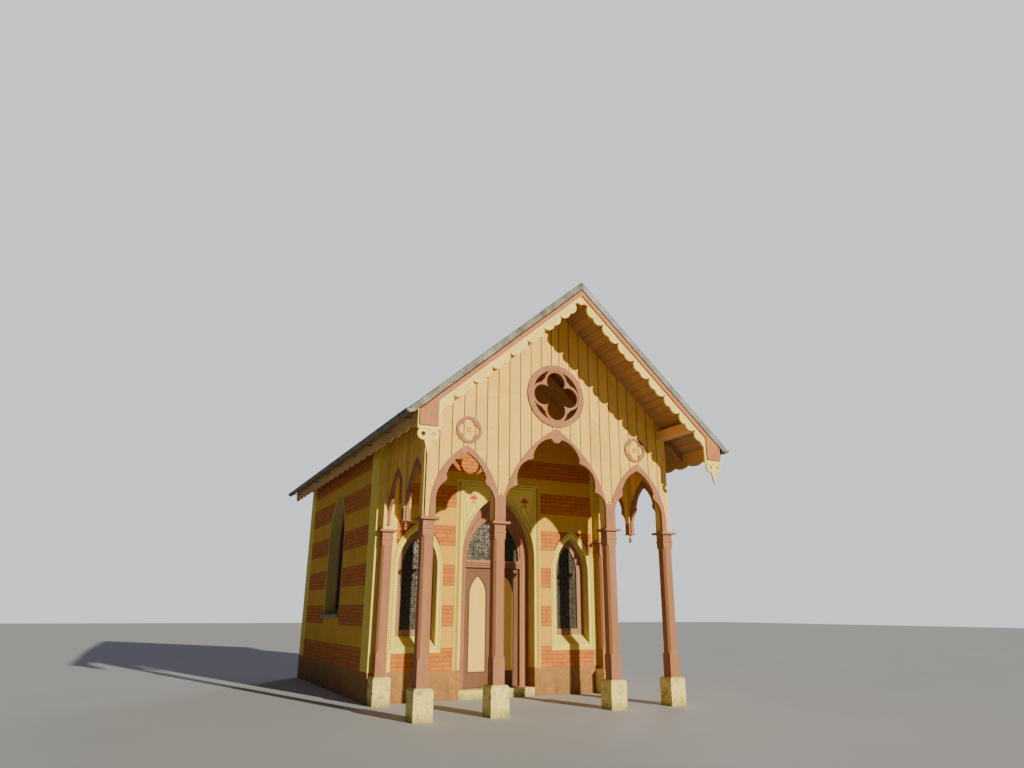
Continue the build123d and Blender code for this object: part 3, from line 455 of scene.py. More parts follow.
def leaded_glass():
    """Old greenish cast glass, nearly opaque with age, each pane waved."""
    made = Finish("old window glass", 0.2)
    waves = made.noise(14, detail=2)
    cells = made.node("ShaderNodeTexVoronoi")
    made.feed(made.place, cells.inputs["Vector"])
    cells.inputs["Scale"].default_value = 16
    pane = made.node("ShaderNodeRGBToBW")
    made.feed(cells.outputs["Color"], pane.inputs[0])
    tint = made.cover(paint(58, 53, 40), paint(86, 80, 62), pane.outputs[0], 0.2, 0.8)
    made.colour(made.cover(tint, paint(60, 58, 46), waves, 0.45, 0.7, 0.4))
    made.gloss(waves, 0.12, 0.34)
    made.relief(waves, 0.004, 0.6)
    made.shader.inputs["Transmission Weight"].default_value = 0.15
    made.shader.inputs["IOR"].default_value = 1.5
    return made.material


def window_lead():
    """Dark lead with a grey bloom."""
    made = Finish("window lead", 0.65, 0.2)
    speck = made.noise(60)
    made.colour(made.cover(paint(34, 32, 28), paint(62, 60, 54), speck, 0.4, 0.7))
    made.relief(speck, 0.0006, 0.5)
    return made.material


def floor_tiles():
    """Worn red-brown floor tiles laid square, with pale joints."""
    made = Finish("floor tile", 0.7)
    tile, joint, shift = 0.200, 0.008, 40.0
    in_tile = [made.maths("FRACT", made.maths("ADD", made.maths("DIVIDE", axis, tile), shift))
               for axis in (made.x, made.y)]
    lines = made.any_of(*(made.below(part, joint / tile) for part in in_tile))
    clay = made.cover(paint(150, 96, 66), paint(112, 72, 52), made.noise(4, detail=6), 0.35, 0.65)
    made.colour(made.mix(lines, clay, paint(176, 164, 140)))
    made.relief(made.maths("SUBTRACT", made.noise(40, detail=6), lines), 0.002, 0.5)
    return made.material


lying = (1, 0.06, 1)
finishes = {
    "walls": banded_wall(),
    "stone": limestone("pale limestone", paint(242, 226, 140)),
    "mauve_timber": painted_timber("mauve painted timber", mauve, mauve_worn, mauve_dark),
    "yellow_boards": painted_timber("yellow painted boards", board_yellow, cream, board_stain),
    "salmon_boards": painted_timber("salmon painted boards", salmon, paint(202, 142, 100), mauve_dark),
    "cream_boards": painted_timber("cream painted boards", cream, paint(246, 234, 140), board_stain),
    "roof_timber": painted_timber(
        "stained roof timber", paint(168, 122, 76), paint(184, 140, 94), paint(92, 60, 34), (0.06, 0.06, 1)
    ),
    "door_paint": painted_timber("mauve door paint", paint(112, 76, 54), paint(128, 88, 64), mauve_dark),
    "window_paint": painted_timber(
        "window frame paint", paint(156, 116, 84), paint(176, 136, 102), mauve_dark
    ),
    "leaded_glass": leaded_glass(),
    "roof_tiles": clay_tile(),
    "zinc": sheet_zinc("weathered zinc", paint(126, 124, 112), paint(92, 92, 84), paint(156, 152, 138)),
    "iron": black_iron(),
}
pale_zinc = sheet_zinc("pale zinc", paint(140, 142, 142), paint(112, 114, 116), paint(160, 160, 156))
lead = window_lead()
brick_paint = painted_brick()
border_paint = flat_paint("pale yellow border paint", border_yellow, 0.06, 0.10, 0.84)
band_paint = flat_paint("ochre border band paint", paint(214, 178, 56), 0.08, 0.10, 0.84)
sill_paint = flat_paint("pale sill paint", paint(238, 222, 100), 0.08, 0.20, 0.84)
line_paint = flat_paint("brown line paint", paint(118, 80, 34))
dot_paint = flat_paint("brown dot paint", paint(120, 84, 30))
flower_red = flat_paint("flower red paint", paint(204, 86, 40))
stem_green = flat_paint("stem green paint", paint(140, 122, 58))
# Dark brown strips in the door frame's grooves: painted shade
groove_shade_paint = flat_paint("painted groove shade", paint(96, 60, 42))
mark_brown = flat_paint("mauve-brown mark paint", paint(132, 84, 58))
# Near-black strip under the verge's zinc laps: painted shadow
verge_gap_shadow_paint = flat_paint("verge shadow paint", paint(44, 32, 26))
panel_paint = painted_timber("panel yellow paint", paint(240, 198, 94), paint(246, 210, 116), board_stain)
soffit_paint = painted_timber(
    "soffit board paint", paint(178, 134, 84), paint(196, 154, 102), paint(96, 60, 30), lying
)
joint_shadow = painted_timber("board joint shadow", board_shadow, board_stain, grey_dirt)

for entry in frame["record"]["subparts"]:
    node = nodes[entry["node"]]
    node.data.materials.clear()
    node.data.materials.append(finishes[entry["material_slot"]])
own_finishes = {
    "side_sills": limestone("blue-grey sill stone", paint(150, 152, 148)),
    "floor_slab": floor_tiles(),
    "roof_deck": painted_timber("soffit joint shadow", paint(66, 42, 24), board_shadow, grey_dirt),
    "gable_boarding": joint_shadow,
    "side_boarding": joint_shadow,
    "eaves_plates": painted_timber(
        "eaves plate paint", paint(222, 172, 112), paint(232, 186, 130), board_stain, lying
    ),
    "eaves_fascias": painted_timber(
        "eaves fascia paint", paint(206, 162, 104), paint(222, 184, 128), board_stain, lying
    ),
}
cream_from = {"rear_posts": abacus_top, "front_posts": abacus_top, "side_pendants": 3.03}
for name, height in cream_from.items():
    own_finishes[name] = painted_timber(
        name.replace("_", " ") + " paint", mauve, mauve_worn, mauve_dark, upper=(height, cream_tan, cream)
    )
for name, finish in own_finishes.items():
    nodes[name].data.materials[0] = finish


# Making of pieces
def placed(name, data):
    """A new object in the scene for a mesh, a curve, a light or a camera."""
    made = bpy.data.objects.new(name, data)
    bpy.context.collection.objects.link(made)
    return made


def plain_mesh(holder):
    """What a curve or a modifier makes, as a mesh of its own."""
    ready = holder.evaluated_get(bpy.context.evaluated_depsgraph_get())
    return bpy.data.meshes.new_from_object(ready)


def piece(name, meshes, finish, body="chapel"):
    """Join meshes to one piece on its body, with its finish."""
    shape = bmesh.new()
    for data in meshes:
        shape.from_mesh(data)
        bpy.data.meshes.remove(data)
    mesh = bpy.data.meshes.new(name)
    shape.to_mesh(mesh)
    shape.free()
    mesh.materials.append(finish)
    made = placed(name, mesh)
    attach(made, body)


def turned_outwards(data, merge=0.0):
    """Turn the faces of a mesh outwards, after merging its doubles if a distance is given."""
    shape = bmesh.new()
    shape.from_mesh(data)
    if merge:
        bmesh.ops.remove_doubles(shape, verts=shape.verts, dist=merge)
    bmesh.ops.recalc_face_normals(shape, faces=shape.faces)
    shape.to_mesh(data)
    shape.free()
    return data


def closed_mesh(name, points, faces):
    """Mesh from points and faces, with its doubles merged and its faces turned outwards."""
    data = bpy.data.meshes.new(name)
    data.from_pydata(points, [], faces)
    return turned_outwards(data, 1e-6)


def on_front(y):
    """Places on a face towards the porch side: across, up, and out of it."""
    return lambda across, up, out=0.0: Vector((across, y - out, up))


def on_rear(y):
    return lambda across, up, out=0.0: Vector((across, y + out, up))


def on_side(x):
    """Places on a side face; across is along the building."""
    way = 1 if x > 0 else -1
    return lambda across, up, out=0.0: Vector((x + way * out, across, up))


def slab(loops, place, inner, outer):
    """Flat piece inside the first loop and outside the others, between two distances out of a face."""
    shape = bmesh.new()
    edges = []
    for loop in loops:
        ring = [shape.verts.new((across, up, 0)) for across, up in loop]
        edges += [shape.edges.new((ring[at - 1], ring[at])) for at in range(len(ring))]
    bmesh.ops.triangle_fill(shape, edges=edges, use_beauty=True)
    shape.verts.index_update()
    flat = [vertex.co.copy() for vertex in shape.verts]
    faces = [[vertex.index for vertex in face.verts] for face in shape.faces]
    shape.free()
    count = len(flat)
    points = [place(at.x, at.y, out) for out in (outer, inner) for at in flat]
    faces += [[index + count for index in face] for face in faces]
    start = 0
    for loop in loops:
        for at in range(len(loop)):
            here = start + at
            before = start + (at - 1) % len(loop)
            faces.append([before, here, here + count, before + count])
        start += len(loop)
    return closed_mesh("slab", points, faces)


bead_roundness, roll_roundness = 1, 4


def beads(paths, radius, place, out=0.0, closed=True, roundness=bead_roundness):
    """Round mouldings along paths on a face."""
    curve = bpy.data.curves.new("beads", "CURVE")
    curve.dimensions = "3D"
    curve.bevel_depth = radius
    curve.bevel_resolution = roundness
    curve.use_fill_caps = True
    for path in paths:
        spline = curve.splines.new("POLY")
        spline.points.add(len(path) - 1)
        for point, (across, up) in zip(spline.points, path):
            point.co = (*place(across, up, out), 1)
        spline.use_cyclic_u = closed
    holder = placed("beads", curve)
    data = plain_mesh(holder)
    bpy.data.objects.remove(holder)
    bpy.data.curves.remove(curve)
    return turned_outwards(data)


def mirrored(side, path):
    return [(side * across, up) for across, up in path]


def rectangle(left, right, low, high):
    return [(left, low), (right, low), (right, high), (left, high)]


def circle_path(radius, across=0.0, up=0.0, steps=32):
    turns = [2 * pi * at / steps for at in range(steps)]
    return [(across + radius * cos(turn), up + radius * sin(turn)) for turn in turns]


def lancet_path(window, grow=0.0, across=0.0, foot=None, steps=14):
    """Outline of a pointed opening, moved outwards by grow, from bottom right round to bottom left."""
    half, bottom, spring, radius = window
    half += grow
    radius += grow
    bottom = bottom - grow if foot is None else foot
    apex = sqrt(radius**2 - (radius - half) ** 2)
    sweep = atan2(apex, radius - half)
    turns = [sweep * at / steps for at in range(steps)]
    side = [(half, bottom)]
    side += [(half - radius + radius * cos(turn), spring + radius * sin(turn)) for turn in turns]
    right = [(across + x, z) for x, z in side]
    left = [(across - x, z) for x, z in reversed(side)]
    return right + [(across, spring + apex)] + left


def lancet_reach(window, grow, low, high):
    """Half width of the grown opening between two heights, or 0 where it doesn't reach."""
    half, bottom, spring, radius = window
    half += grow
    radius += grow
    if high <= bottom - grow:
        return 0.0
    if low <= spring:
        return half
    rise = radius**2 - (low - spring) ** 2
    return max(0.0, half - radius + sqrt(rise)) if rise > 0 else 0.0


# Geometry Nodes: one unit repeated at given places
def repeat_tree():
    """Tree that puts the object's own mesh at every point of another object, sized and turned."""
    tree = bpy.data.node_groups.new("repeat at places", "GeometryNodeTree")
    tree.interface.new_socket("Unit", in_out="INPUT", socket_type="NodeSocketGeometry")
    tree.interface.new_socket("Places", in_out="INPUT", socket_type="NodeSocketObject")
    tree.interface.new_socket("Overall size", in_out="INPUT", socket_type="NodeSocketFloat")
    tree.interface.new_socket("Finish", in_out="INPUT", socket_type="NodeSocketMaterial")
    tree.interface.new_socket("Repeats", in_out="OUTPUT", socket_type="NodeSocketGeometry")
    add, link = tree.nodes.new, tree.links.new
    source = add("NodeGroupInput")
    places = add("GeometryNodeObjectInfo")
    link(source.outputs["Places"], places.inputs["Object"])
    size = add("GeometryNodeInputNamedAttribute")
    size.data_type = "FLOAT_VECTOR"
    size.inputs["Name"].default_value = "size"
    turn = add("GeometryNodeInputNamedAttribute")
    turn.data_type = "FLOAT_VECTOR"
    turn.inputs["Name"].default_value = "turn"
    scaled = add("ShaderNodeVectorMath")
    scaled.operation = "SCALE"
    link(size.outputs["Attribute"], scaled.inputs[0])
    link(source.outputs["Overall size"], scaled.inputs["Scale"])
    instances = add("GeometryNodeInstanceOnPoints")
    link(places.outputs["Geometry"], instances.inputs["Points"])
    link(source.outputs["Unit"], instances.inputs["Instance"])
    link(turn.outputs["Attribute"], instances.inputs["Rotation"])
    link(scaled.outputs[0], instances.inputs["Scale"])
    real = add("GeometryNodeRealizeInstances")
    link(instances.outputs[0], real.inputs[0])
    finish = add("GeometryNodeSetMaterial")
    link(real.outputs[0], finish.inputs["Geometry"])
    link(source.outputs["Finish"], finish.inputs["Material"])
    link(finish.outputs[0], add("NodeGroupOutput").inputs[0])
    return tree


repeat_at_places = repeat_tree()


def grown(name, unit, tree, **inputs):
    """Plain mesh of a tree's result on a unit mesh."""
    holder = placed(name, unit)
    modifier = holder.modifiers.new(name, "NODES")
    modifier.node_group = tree
    sockets = {item.name: item.identifier for item in tree.interface.items_tree if item.in_out == "INPUT"}
    for key, value in inputs.items():
        modifier[sockets[key.replace("_", " ")]] = value
    data = plain_mesh(holder)
    holder.modifiers.remove(modifier)
    bpy.data.objects.remove(holder)
    return data


def repeated(name, unit, places, finish):
    """The unit mesh at places, each a (point, size, turn)."""
    points, sizes, turns = zip(*places)
    data = bpy.data.meshes.new(name + " places")
    data.from_pydata([tuple(point) for point in points], [], [])
    for kind, vectors in (("size", sizes), ("turn", turns)):
        stored = data.attributes.new(kind, "FLOAT_VECTOR", "POINT")
        for at, vector in enumerate(vectors):
            stored.data[at].vector = vector
    holder = placed(name + " places", data)
    result = grown(name, unit, repeat_at_places, Places=holder, Overall_size=1.0, Finish=finish)
    bpy.data.objects.remove(holder)
    return result


def chamfered_block(chamfer=0.08):
    """Unit block from -0.5 to 0.5 whose +Z face is drawn in by a chamfer."""
    inner = 0.5 - chamfer
    points = []
    for half, height in ((0.5, -0.5), (0.5, 0.5 - chamfer), (inner, 0.5)):
        points += [(across, up, height) for across, up in rectangle(-half, half, -half, half)]
    faces = [(3, 2, 1, 0), (8, 9, 10, 11)]
    for ring in (0, 4):
        for at in range(4):
            following = (at + 1) % 4
            faces.append((ring + at, ring + following, ring + following + 4, ring + at + 4))
    return closed_mesh("block", points, faces)


# Painted bricks on every face of the walls
face_turns = {
    "front": (pi / 2, 0, 0),
    "rear": (-pi / 2, 0, 0),
    "left": (0, -pi / 2, 0),
    "right": (0, pi / 2, 0),
}


def free_runs(start, end, cuts):
    """What is left of a run once the cuts are taken out."""
    runs = [(start, end)]
    for low, high in cuts:
        left = []
        for first, last in runs:
            parts = [(first, min(last, low)), (max(first, high), last)]
            left += [part for part in parts if part[1] > part[0]]
        runs = left
    return runs


def brick_places(place, facing, start, end, cuts_at):
    """Places of the bricks of every brick band between start and end."""
    found = []
    for bottom, top in brick_bands:
        course = (top - bottom) / band_courses
        tall = course - brick_joint
        for row in range(band_courses):
            low = bottom + row * course
            high = low + course
            for first, last in free_runs(start, end, cuts_at(low, high)):
                at = first - (brick_length / 2 if row % 2 else 0)
                while at < last:
                    here = max(at, first) + brick_joint / 2
                    there = min(at + brick_length, last) - brick_joint / 2
                    at += brick_length
                    long = there - here
                    if long < shortest_brick:
                        continue
                    middle = place((here + there) / 2, (low + high) / 2, brick_proud / 2)
                    upended = facing in ("left", "right")
                    size = (tall, long, brick_proud) if upended else (long, tall, brick_proud)
                    found.append((middle, size, face_turns[facing]))
    return found


def front_cuts(low, high):
    """Stretches of the front wall that have no bricks at this height."""
    tuck = 0.001
    reach = 0.0
    if low > front_window[1]:
        reach = lancet_reach(front_window, window_border, low, high)
    elif high > window_border_foot + 0.01:
        reach = front_window[0] + window_border
    cuts = []
    if reach > 0:
        cuts = [(side * front_window_x - reach, side * front_window_x + reach) for side in (-1, 1)]
    if low < frame_outer_top:
        cuts.append((tuck - frame_outer_x, frame_outer_x - tuck))
    return cuts


def side_cuts(low, high):
    """Stretches of a side wall that have no bricks at this height."""
    patch_half, patch_low, patch_high = side_patch
    reach = lancet_reach(side_window, side_border, low, high)
    if patch_low - 0.01 < low < patch_high:
        reach = patch_half
    return [(side_window_y - reach, side_window_y + reach)] if reach > 0 else []


def lay_bricks():
    left_end, right_end = corner_strip_front
    places = brick_places(on_front(wall_y), "front", -left_end, right_end, front_cuts)
    start, end = wall_y + corner_strip_side, rear_y - corner_strip_side
    for side, facing in ((-1, "left"), (1, "right")):
        places += brick_places(on_side(side * half_width), facing, start, end, side_cuts)
    inner = half_width - corner_strip_side
    places += brick_places(on_rear(rear_y), "rear", -inner, inner, lambda low, high: [])
    bricks = repeated("bricks", chamfered_block(), places, brick_paint)
    piece("painted_bricks", [bricks], brick_paint)


# Boards over a flat CAD face: the face is cut at the joints and each board stands a little proud
def boards_over(node, facing, across, joints, gap, proud):
    """Mesh of separate boards on the faces of a node that look along facing."""
    shape = bmesh.new()
    shape.from_mesh(nodes[node].data)
    bmesh.ops.remove_doubles(shape, verts=shape.verts, dist=1e-5)
    shape.normal_update()
    turned_away = [face for face in shape.faces if face.normal.dot(facing) < 0.99]
    bmesh.ops.delete(shape, geom=turned_away, context="FACES")
    for joint in joints:
        for edge in (joint - gap / 2, joint + gap / 2):
            geometry = shape.verts[:] + shape.edges[:] + shape.faces[:]
            bmesh.ops.bisect_plane(shape, geom=geometry, plane_co=across * edge, plane_no=across)

    def in_gap(face):
        middle = face.calc_center_median().dot(across)
        return any(abs(middle - joint) < gap / 2 for joint in joints)

    bmesh.ops.delete(shape, geom=[face for face in shape.faces if in_gap(face)], context="FACES")
    lifted = bmesh.ops.extrude_face_region(shape, geom=shape.faces[:], use_keep_orig=True)["geom"]
    corners = [item for item in lifted if isinstance(item, bmesh.types.BMVert)]
    bmesh.ops.translate(shape, verts=corners, vec=facing * proud)
    bmesh.ops.recalc_face_normals(shape, faces=shape.faces)
    data = bpy.data.meshes.new(node + " boards")
    shape.to_mesh(data)
    shape.free()
    return data


def board_the_porch():
    steps = [board_first_joint + board_pitch * step for step in range(12)]
    middle = sum(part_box("side_boarding"), Vector()).y / 2
    flank_joints = [middle + board_pitch * (step + 0.5) for step in range(-6, 6)]
    along_x, along_y = Vector((1, 0, 0)), Vector((0, 1, 0))
    for name, node, facing, across, joints in (
        ("gable_boards", "gable_boarding", along_y, along_x, [-joint for joint in steps] + steps),
        ("flank_boards", "side_boarding", along_x, along_y, flank_joints),
    ):
        meshes = [boards_over(node, facing * way, across, joints, board_gap, board_proud) for way in (-1, 1)]
        piece(name, meshes, finishes["yellow_boards"])


def board_the_soffit():
    """Boards under the roof deck, laid along the building."""
    far = Vector((deck_x, 0, ridge_z - deck_underside - deck_x * slope)).dot(along_slope)
    joints = [far - soffit_board * step for step in range(1, 25)]
    meshes = []
    for side in (-1, 1):
        down = Vector((side * along_slope.x, 0, along_slope.z))
        below = Vector((-side * out_of_slope.x, 0, -out_of_slope.z))
        meshes.append(boards_over("roof_deck", below, down, joints, soffit_gap, soffit_proud))
    piece("soffit_boards", meshes, soffit_paint)


def on_slope(side, reach, along=0.0, lift=0.0):
    """Place on the roof at a distance from the ridge down the slope."""
    return Vector((side * (reach * along_slope.x + lift * out_of_slope.x), along,
                   ridge_z + reach * along_slope.z + lift * out_of_slope.z))


# Roof tiles in rows over both slopes
def tile_mesh(wide, long, thick):
    """One flat clay tile with a round end, lying along its slope: +Y is up the slope."""
    half, tongue, steps = wide / 2, wide * 0.28, 8
    turns = [pi * at / steps for at in range(1, steps)]
    outline = [(-half, long), (-half, tongue)]
    outline += [(-half * cos(turn), tongue * (1 - sin(turn))) for turn in turns]
    outline += [(half, tongue), (half, long)]
    return slab([outline], lambda across, up, out=0.0: Vector((across, up, out)), 0.0, thick)


def lay_tiles():
    """Rows from the eaves up to the ridge cap, whose legs cover the heads of the top row."""
    wide, thick, joint = 0.180, 0.009, 0.003
    lift, uneven, tip_in, askew = 0.003, 0.001, 0.045, 0.005
    rows = 23
    first_reach, last_reach = slope_length - 0.004, ridge_cap_leg + 0.158
    exposure = (first_reach - last_reach) / (rows - 1)
    tile_length = exposure * 1.48
    start = verge_front_y + flashing_leg
    run = verge_rear_y - start
    columns = int(run / wide)
    rng = random.Random(7)
    places = []
    for side in (-1, 1):
        for row in range(rows):
            shift = wide / 2 * 0.99 if row % 2 else 0
            for column in range(columns):
                along = start + wide / 2 + column * (run - wide) / (columns - 1) + shift
                if along > verge_rear_y - wide / 2 + 0.01:
                    continue
                point = on_slope(side, first_reach - row * exposure, along, lift + rng.uniform(0, uneven))
                turn = (roof_lean - tip_in, rng.uniform(-askew, askew), side * pi / 2)
                places.append((point, (1, 1, 1), turn))
    unit = tile_mesh(wide - joint, tile_length, thick)
    clay = finishes["roof_tiles"]
    piece("roof_tiling", [repeated("tiles", unit, places, clay)], clay)


# Zinc: lapped plates and a roll along the front verge, and rolled edges on the gutters and ridge cap
def dress_the_verge():
    overlap, plate, tip_out, ahead = 0.004, 0.0022, 0.016, 0.0018
    roll_radius, roll_lift, roll_start, eave_gap = 0.0055, 0.004 / cos(roof_lean), 0.012, 0.004
    shortest_lap, line_proud = 0.150, 0.0015
    count = int(slope_length / shortest_lap)
    lap = slope_length / count
    board_end = verge_board_x - 0.001
    line_top, line_depth = ridge_z - lap_depth + 0.002, 0.026
    size = (lap + overlap, lap_depth * cos(roof_lean) - 0.002, plate)
    shadows = []
    for side, name, zinc in ((-1, "left", finishes["zinc"]), (1, "right", pale_zinc)):
        places = []
        for step in range(count):
            point = on_slope(side, (step + 0.5) * lap, verge_front_y - ahead) - Vector((0, 0, lap_depth / 2))
            places.append((point, size, (pi / 2, side * roof_lean, -side * tip_out)))
        # A dark strip along the lower edge of the laps, on the salmon board, is painted shadow
        end_drop = board_end * slope
        strip = [(0, line_top), (board_end, line_top - end_drop),
                 (board_end, line_top - end_drop - line_depth), (0, line_top - line_depth)]
        shadows.append(slab([mirrored(side, strip)], on_front(verge_board_y), -sink, line_proud))
        laps = repeated(name + " laps", chamfered_block(), places, zinc)
        ends = [(side * x, ridge_z + roll_lift - x * slope) for x in (roll_start, eave_x - eave_gap)]
        roll = beads([ends], roll_radius, on_front(verge_front_y), -sink, False, roll_roundness)
        piece("verge_laps_" + name, [laps, roll], zinc)
    piece("verge_shadow_lines", shadows, verge_gap_shadow_paint)


def roll_the_edges():
    """Rolled outer edges of the gutters and of the ridge cap's legs, and laps across the cap."""
    radius, end_gap = 0.006, 0.004
    cap_x = ridge_cap_leg * cos(roof_lean)
    cap_start, cap_end = ridge_cap_y + end_gap, verge_rear_y - end_gap
    gutter_x, gutter_z = gutter_end.x - 0.0075, gutter_end.z - 0.002
    meshes = []
    for side in (-1, 1):
        for x, z, start, end in (
            (gutter_x, gutter_z, gutter_start.y + end_gap, gutter_end.y - end_gap),
            (cap_x, ridge_z - cap_x * slope + 0.006, cap_start, cap_end),
        ):
            edge = [(start, z), (end, z)]
            meshes.append(beads([edge], radius, on_side(side * x), 0.0, False, roll_roundness))
    count, lap_width, lap_thick, cap_lift = 9, 0.030, 0.0016, 0.0088
    size = (ridge_cap_leg - 0.008, lap_width, lap_thick)
    places = []
    for side in (-1, 1):
        for step in range(1, count):
            along = cap_start + (verge_rear_y - cap_start) * step / count
            point = on_slope(side, ridge_cap_leg / 2 + 0.003, along, cap_lift)
            places.append((point, size, (0, side * roof_lean, 0)))
    meshes.append(repeated("ridge laps", chamfered_block(), places, finishes["zinc"]))
    piece("zinc_rolls", meshes, finishes["zinc"])


# Small marks on the porch gable
def almond(length, width, turn=0.0, across=0.0, up=0.0, near=0.0, steps=6):
    """Outline of a pointed leaf that starts near its centre point and points along turn."""
    half = [(near + length * at / steps, width / 2 * sin(pi * at / steps)) for at in range(steps + 1)]
    loop = half + [(along, -aside) for along, aside in reversed(half[1:-1])]
    return [
        (across + along * cos(turn) - aside * sin(turn), up + along * sin(turn) + aside * cos(turn))
        for along, aside in loop
    ]


def mark_the_gable():
    """Four small leaves in each side roundel, and a dot over a drop between the arches."""
    roundel_x, roundel_z, leaf_length, leaf_width, leaf_near = 1.597, abacus_top + 1.399, 0.048, 0.024, 0.008
    dot_radius, dot_x, dot_z = 0.011, 1.021, 3.282
    drop_length, drop_width, drop_x, drop_z, proud = 0.052, 0.030, 1.018, 3.243, 0.002
    place = on_front(boards_y - board_proud)
    marks = []
    for side in (-1, 1):
        for quarter in range(4):
            turn = pi / 4 + quarter * pi / 2
            marks.append(almond(leaf_length, leaf_width, turn, side * roundel_x, roundel_z, leaf_near))
        marks.append(circle_path(dot_radius, side * dot_x, dot_z, 10))
        marks.append(almond(drop_length, drop_width, -pi / 2, side * drop_x, drop_z))
    meshes = [slab([mark], place, -sink, proud) for mark in marks]
    piece("gable_marks", meshes, mark_brown)


# Borders, lines, ticks and spandrels painted round the windows and the doorway
def ticks(path, place, out, length):
    """Places of small raised ticks of one length at even steps along a path."""
    found = []
    rest = tick_pitch / 2
    for (x, z), (next_x, next_z) in zip(path, path[1:]):
        run = hypot(next_x - x, next_z - z)
        turn = (pi / 2, -atan2(next_z - z, next_x - x), 0)
        while rest < run:
            share = rest / run
            point = place(x + (next_x - x) * share, z + (next_z - z) * share, out)
            found.append((point, (tick_width, length, tick_depth), turn))
            rest += tick_pitch
        rest -= run
    return found


def sloping_sill(centre):
    """Thin painted slope in front of a front window, down to the face of the wall."""
    half = front_window[0] - 0.002
    rise = front_window[1] - window_sill_foot
    thickness, set_back, inner_end = 0.003, 0.001, 0.985
    corners = []
    for lift, back in ((0.0, 0.0), (thickness, set_back)):
        for across in (centre - half, centre + half):
            for share in (0.0, inner_end):
                inward = wall_y + sill_depth * share + back
                corners.append(Vector((across, inward, window_sill_foot + rise * share + lift)))
    faces = [(0, 1, 3, 2), (4, 5, 7, 6), (0, 1, 5, 4), (2, 3, 7, 6), (0, 2, 6, 4), (1, 3, 7, 5)]
    return closed_mesh("sill", corners, faces)


def paint_the_front():
    place = on_front(wall_y)
    border_inset, window_tick_in, tick_foot, edge_in = 0.004, 0.068, 0.04, 0.003
    reveal_x, line_xs, tick_x, band_proud = 0.747, (frame_inner_x, 0.839, 0.862), 0.815, 0.003
    window_tick, door_tick = (0.003, 0.024), (0.0035, 0.026)
    frame_strip = [(reveal_x, plinth_top), (frame_outer_x, plinth_top), (frame_outer_x, frame_outer_top),
                   (0, frame_outer_top), (0, frame_inner_top), (frame_inner_x, frame_inner_top),
                   (frame_inner_x, frame_spring), (reveal_x, frame_spring)]
    edge_x, edge_top = frame_outer_x - edge_in, frame_outer_top - edge_in
    outer_line = [(edge_x, plinth_top), (edge_x, edge_top), (0, edge_top)]
    frame_lines = [[(x, plinth_top), (x, frame_inner_top)] for x in line_xs]
    frame_lines += [outer_line, [(frame_inner_x, frame_inner_top), (0, frame_inner_top)]]
    band = rectangle(band_inner_x, band_outer_x, plinth_top, frame_outer_top - band_drop)
    pale, band_meshes, lines, tick_places, sills = [], [], [], [], []
    for side in (-1, 1):
        centre = side * front_window_x
        outer = lancet_path(front_window, window_border, centre, window_border_foot)
        inner = lancet_path(front_window, 0.0, centre, window_sill_foot)
        edge = lancet_path(
            front_window, window_border - border_inset, centre, window_border_foot + border_inset
        )
        window_ticks = lancet_path(front_window, window_tick_in, centre, window_border_foot + tick_foot)
        door_ticks = [(side * tick_x, plinth_top + 0.02), (side * tick_x, frame_inner_top)]
        pale.append(slab([outer, inner], place, 0.0, paint_proud))
        pale.append(slab([mirrored(side, frame_strip)], place, 0.0, paint_proud))
        band_meshes.append(slab([mirrored(side, band)], place, 0.0, band_proud))
        lines.append(beads([edge], line_radius, place, line_out))
        lines += [beads([mirrored(side, path)], line_radius, place, line_out, False) for path in frame_lines]
        tick_places += ticks(window_ticks, place, *window_tick) + ticks(door_ticks, place, *door_tick)
        sills.append(sloping_sill(centre))
    tick_meshes = [repeated("dots", chamfered_block(0.15), tick_places, dot_paint)]
    for name, meshes, finish in (
        ("wall_borders", pale, border_paint),
        ("door_border_bands", band_meshes, band_paint),
        ("window_sill_slopes", sills, sill_paint),
        ("border_lines", lines, line_paint),
        ("border_dots", tick_meshes, dot_paint),
    ):
        piece(name, meshes, finish)


def paint_the_spandrels():
    """A generic five-petalled flower, its leaves and two plain stems in each corner over the door."""
    place = on_front(wall_y)
    proud, flower_x, flower_z, leaf_z = 0.003, 0.535, 3.440, 3.395
    bowed = [(0.690 - 0.016 * sin(pi * at / 8), 3.063 + 0.320 * at / 8) for at in range(9)]
    curled = [(0.705, 2.885), (0.660, 2.975), (0.605, 3.075), (0.545, 3.160), (0.490, 3.225), (0.457, 3.274),
              (0.462, 3.335), (0.500, 3.392)]
    corner = [(0.735, 2.80), (0.735, 3.70), (0.06, 3.70)]
    stem = [(0.535, 3.420), (0.560, 3.330), (0.610, 3.220), (0.655, 3.110), (0.690, 2.980)]
    petals, stems = [], []
    for side in (-1, 1):
        x = side * flower_x
        fan = [(0.118 if petal == 2 else 0.096, pi / 2 + (petal - 2) * 0.62) for petal in range(5)]
        outlines = [almond(length, 0.036, turn, x, flower_z, 0.004) for length, turn in fan]
        outlines.append(almond(0.050, 0.030, -pi / 2, x, flower_z))
        petals += [slab([outline], place, 0.0, proud) for outline in outlines]
        leaves = [almond(0.062, 0.020, turn, x, leaf_z) for turn in (-0.5, pi + 0.5)]
        stems += [slab([leaf], place, 0.0, proud) for leaf in leaves]
        for path in (bowed, curled, corner, stem):
            stems.append(beads([mirrored(side, path)], line_radius, place, line_out, False))
    arch_edge = lancet_path(doorway, 0.030, 0.0, 2.60)[4:-4]
    piece("spandrel_flowers", petals, flower_red)
    piece("spandrel_stems", stems, stem_green)
    piece("arch_line", [beads([arch_edge], 0.0035, place, line_out, False)], line_paint)


def border_the_side_windows():
    foot = side_window[1]
    outer = lancet_path(side_window, side_border, side_window_y, foot)
    inner = lancet_path(side_window, 0.0, side_window_y, foot)
    places = [on_side(side * half_width) for side in (-1, 1)]
    borders = [slab([outer + inner[::-1]], place, 0.0, paint_proud) for place in places]
    lines = [beads([outer], 0.003, place, paint_proud, False) for place in places]
    piece("side_window_borders", borders, border_paint)
    piece("side_border_lines", lines, line_paint)


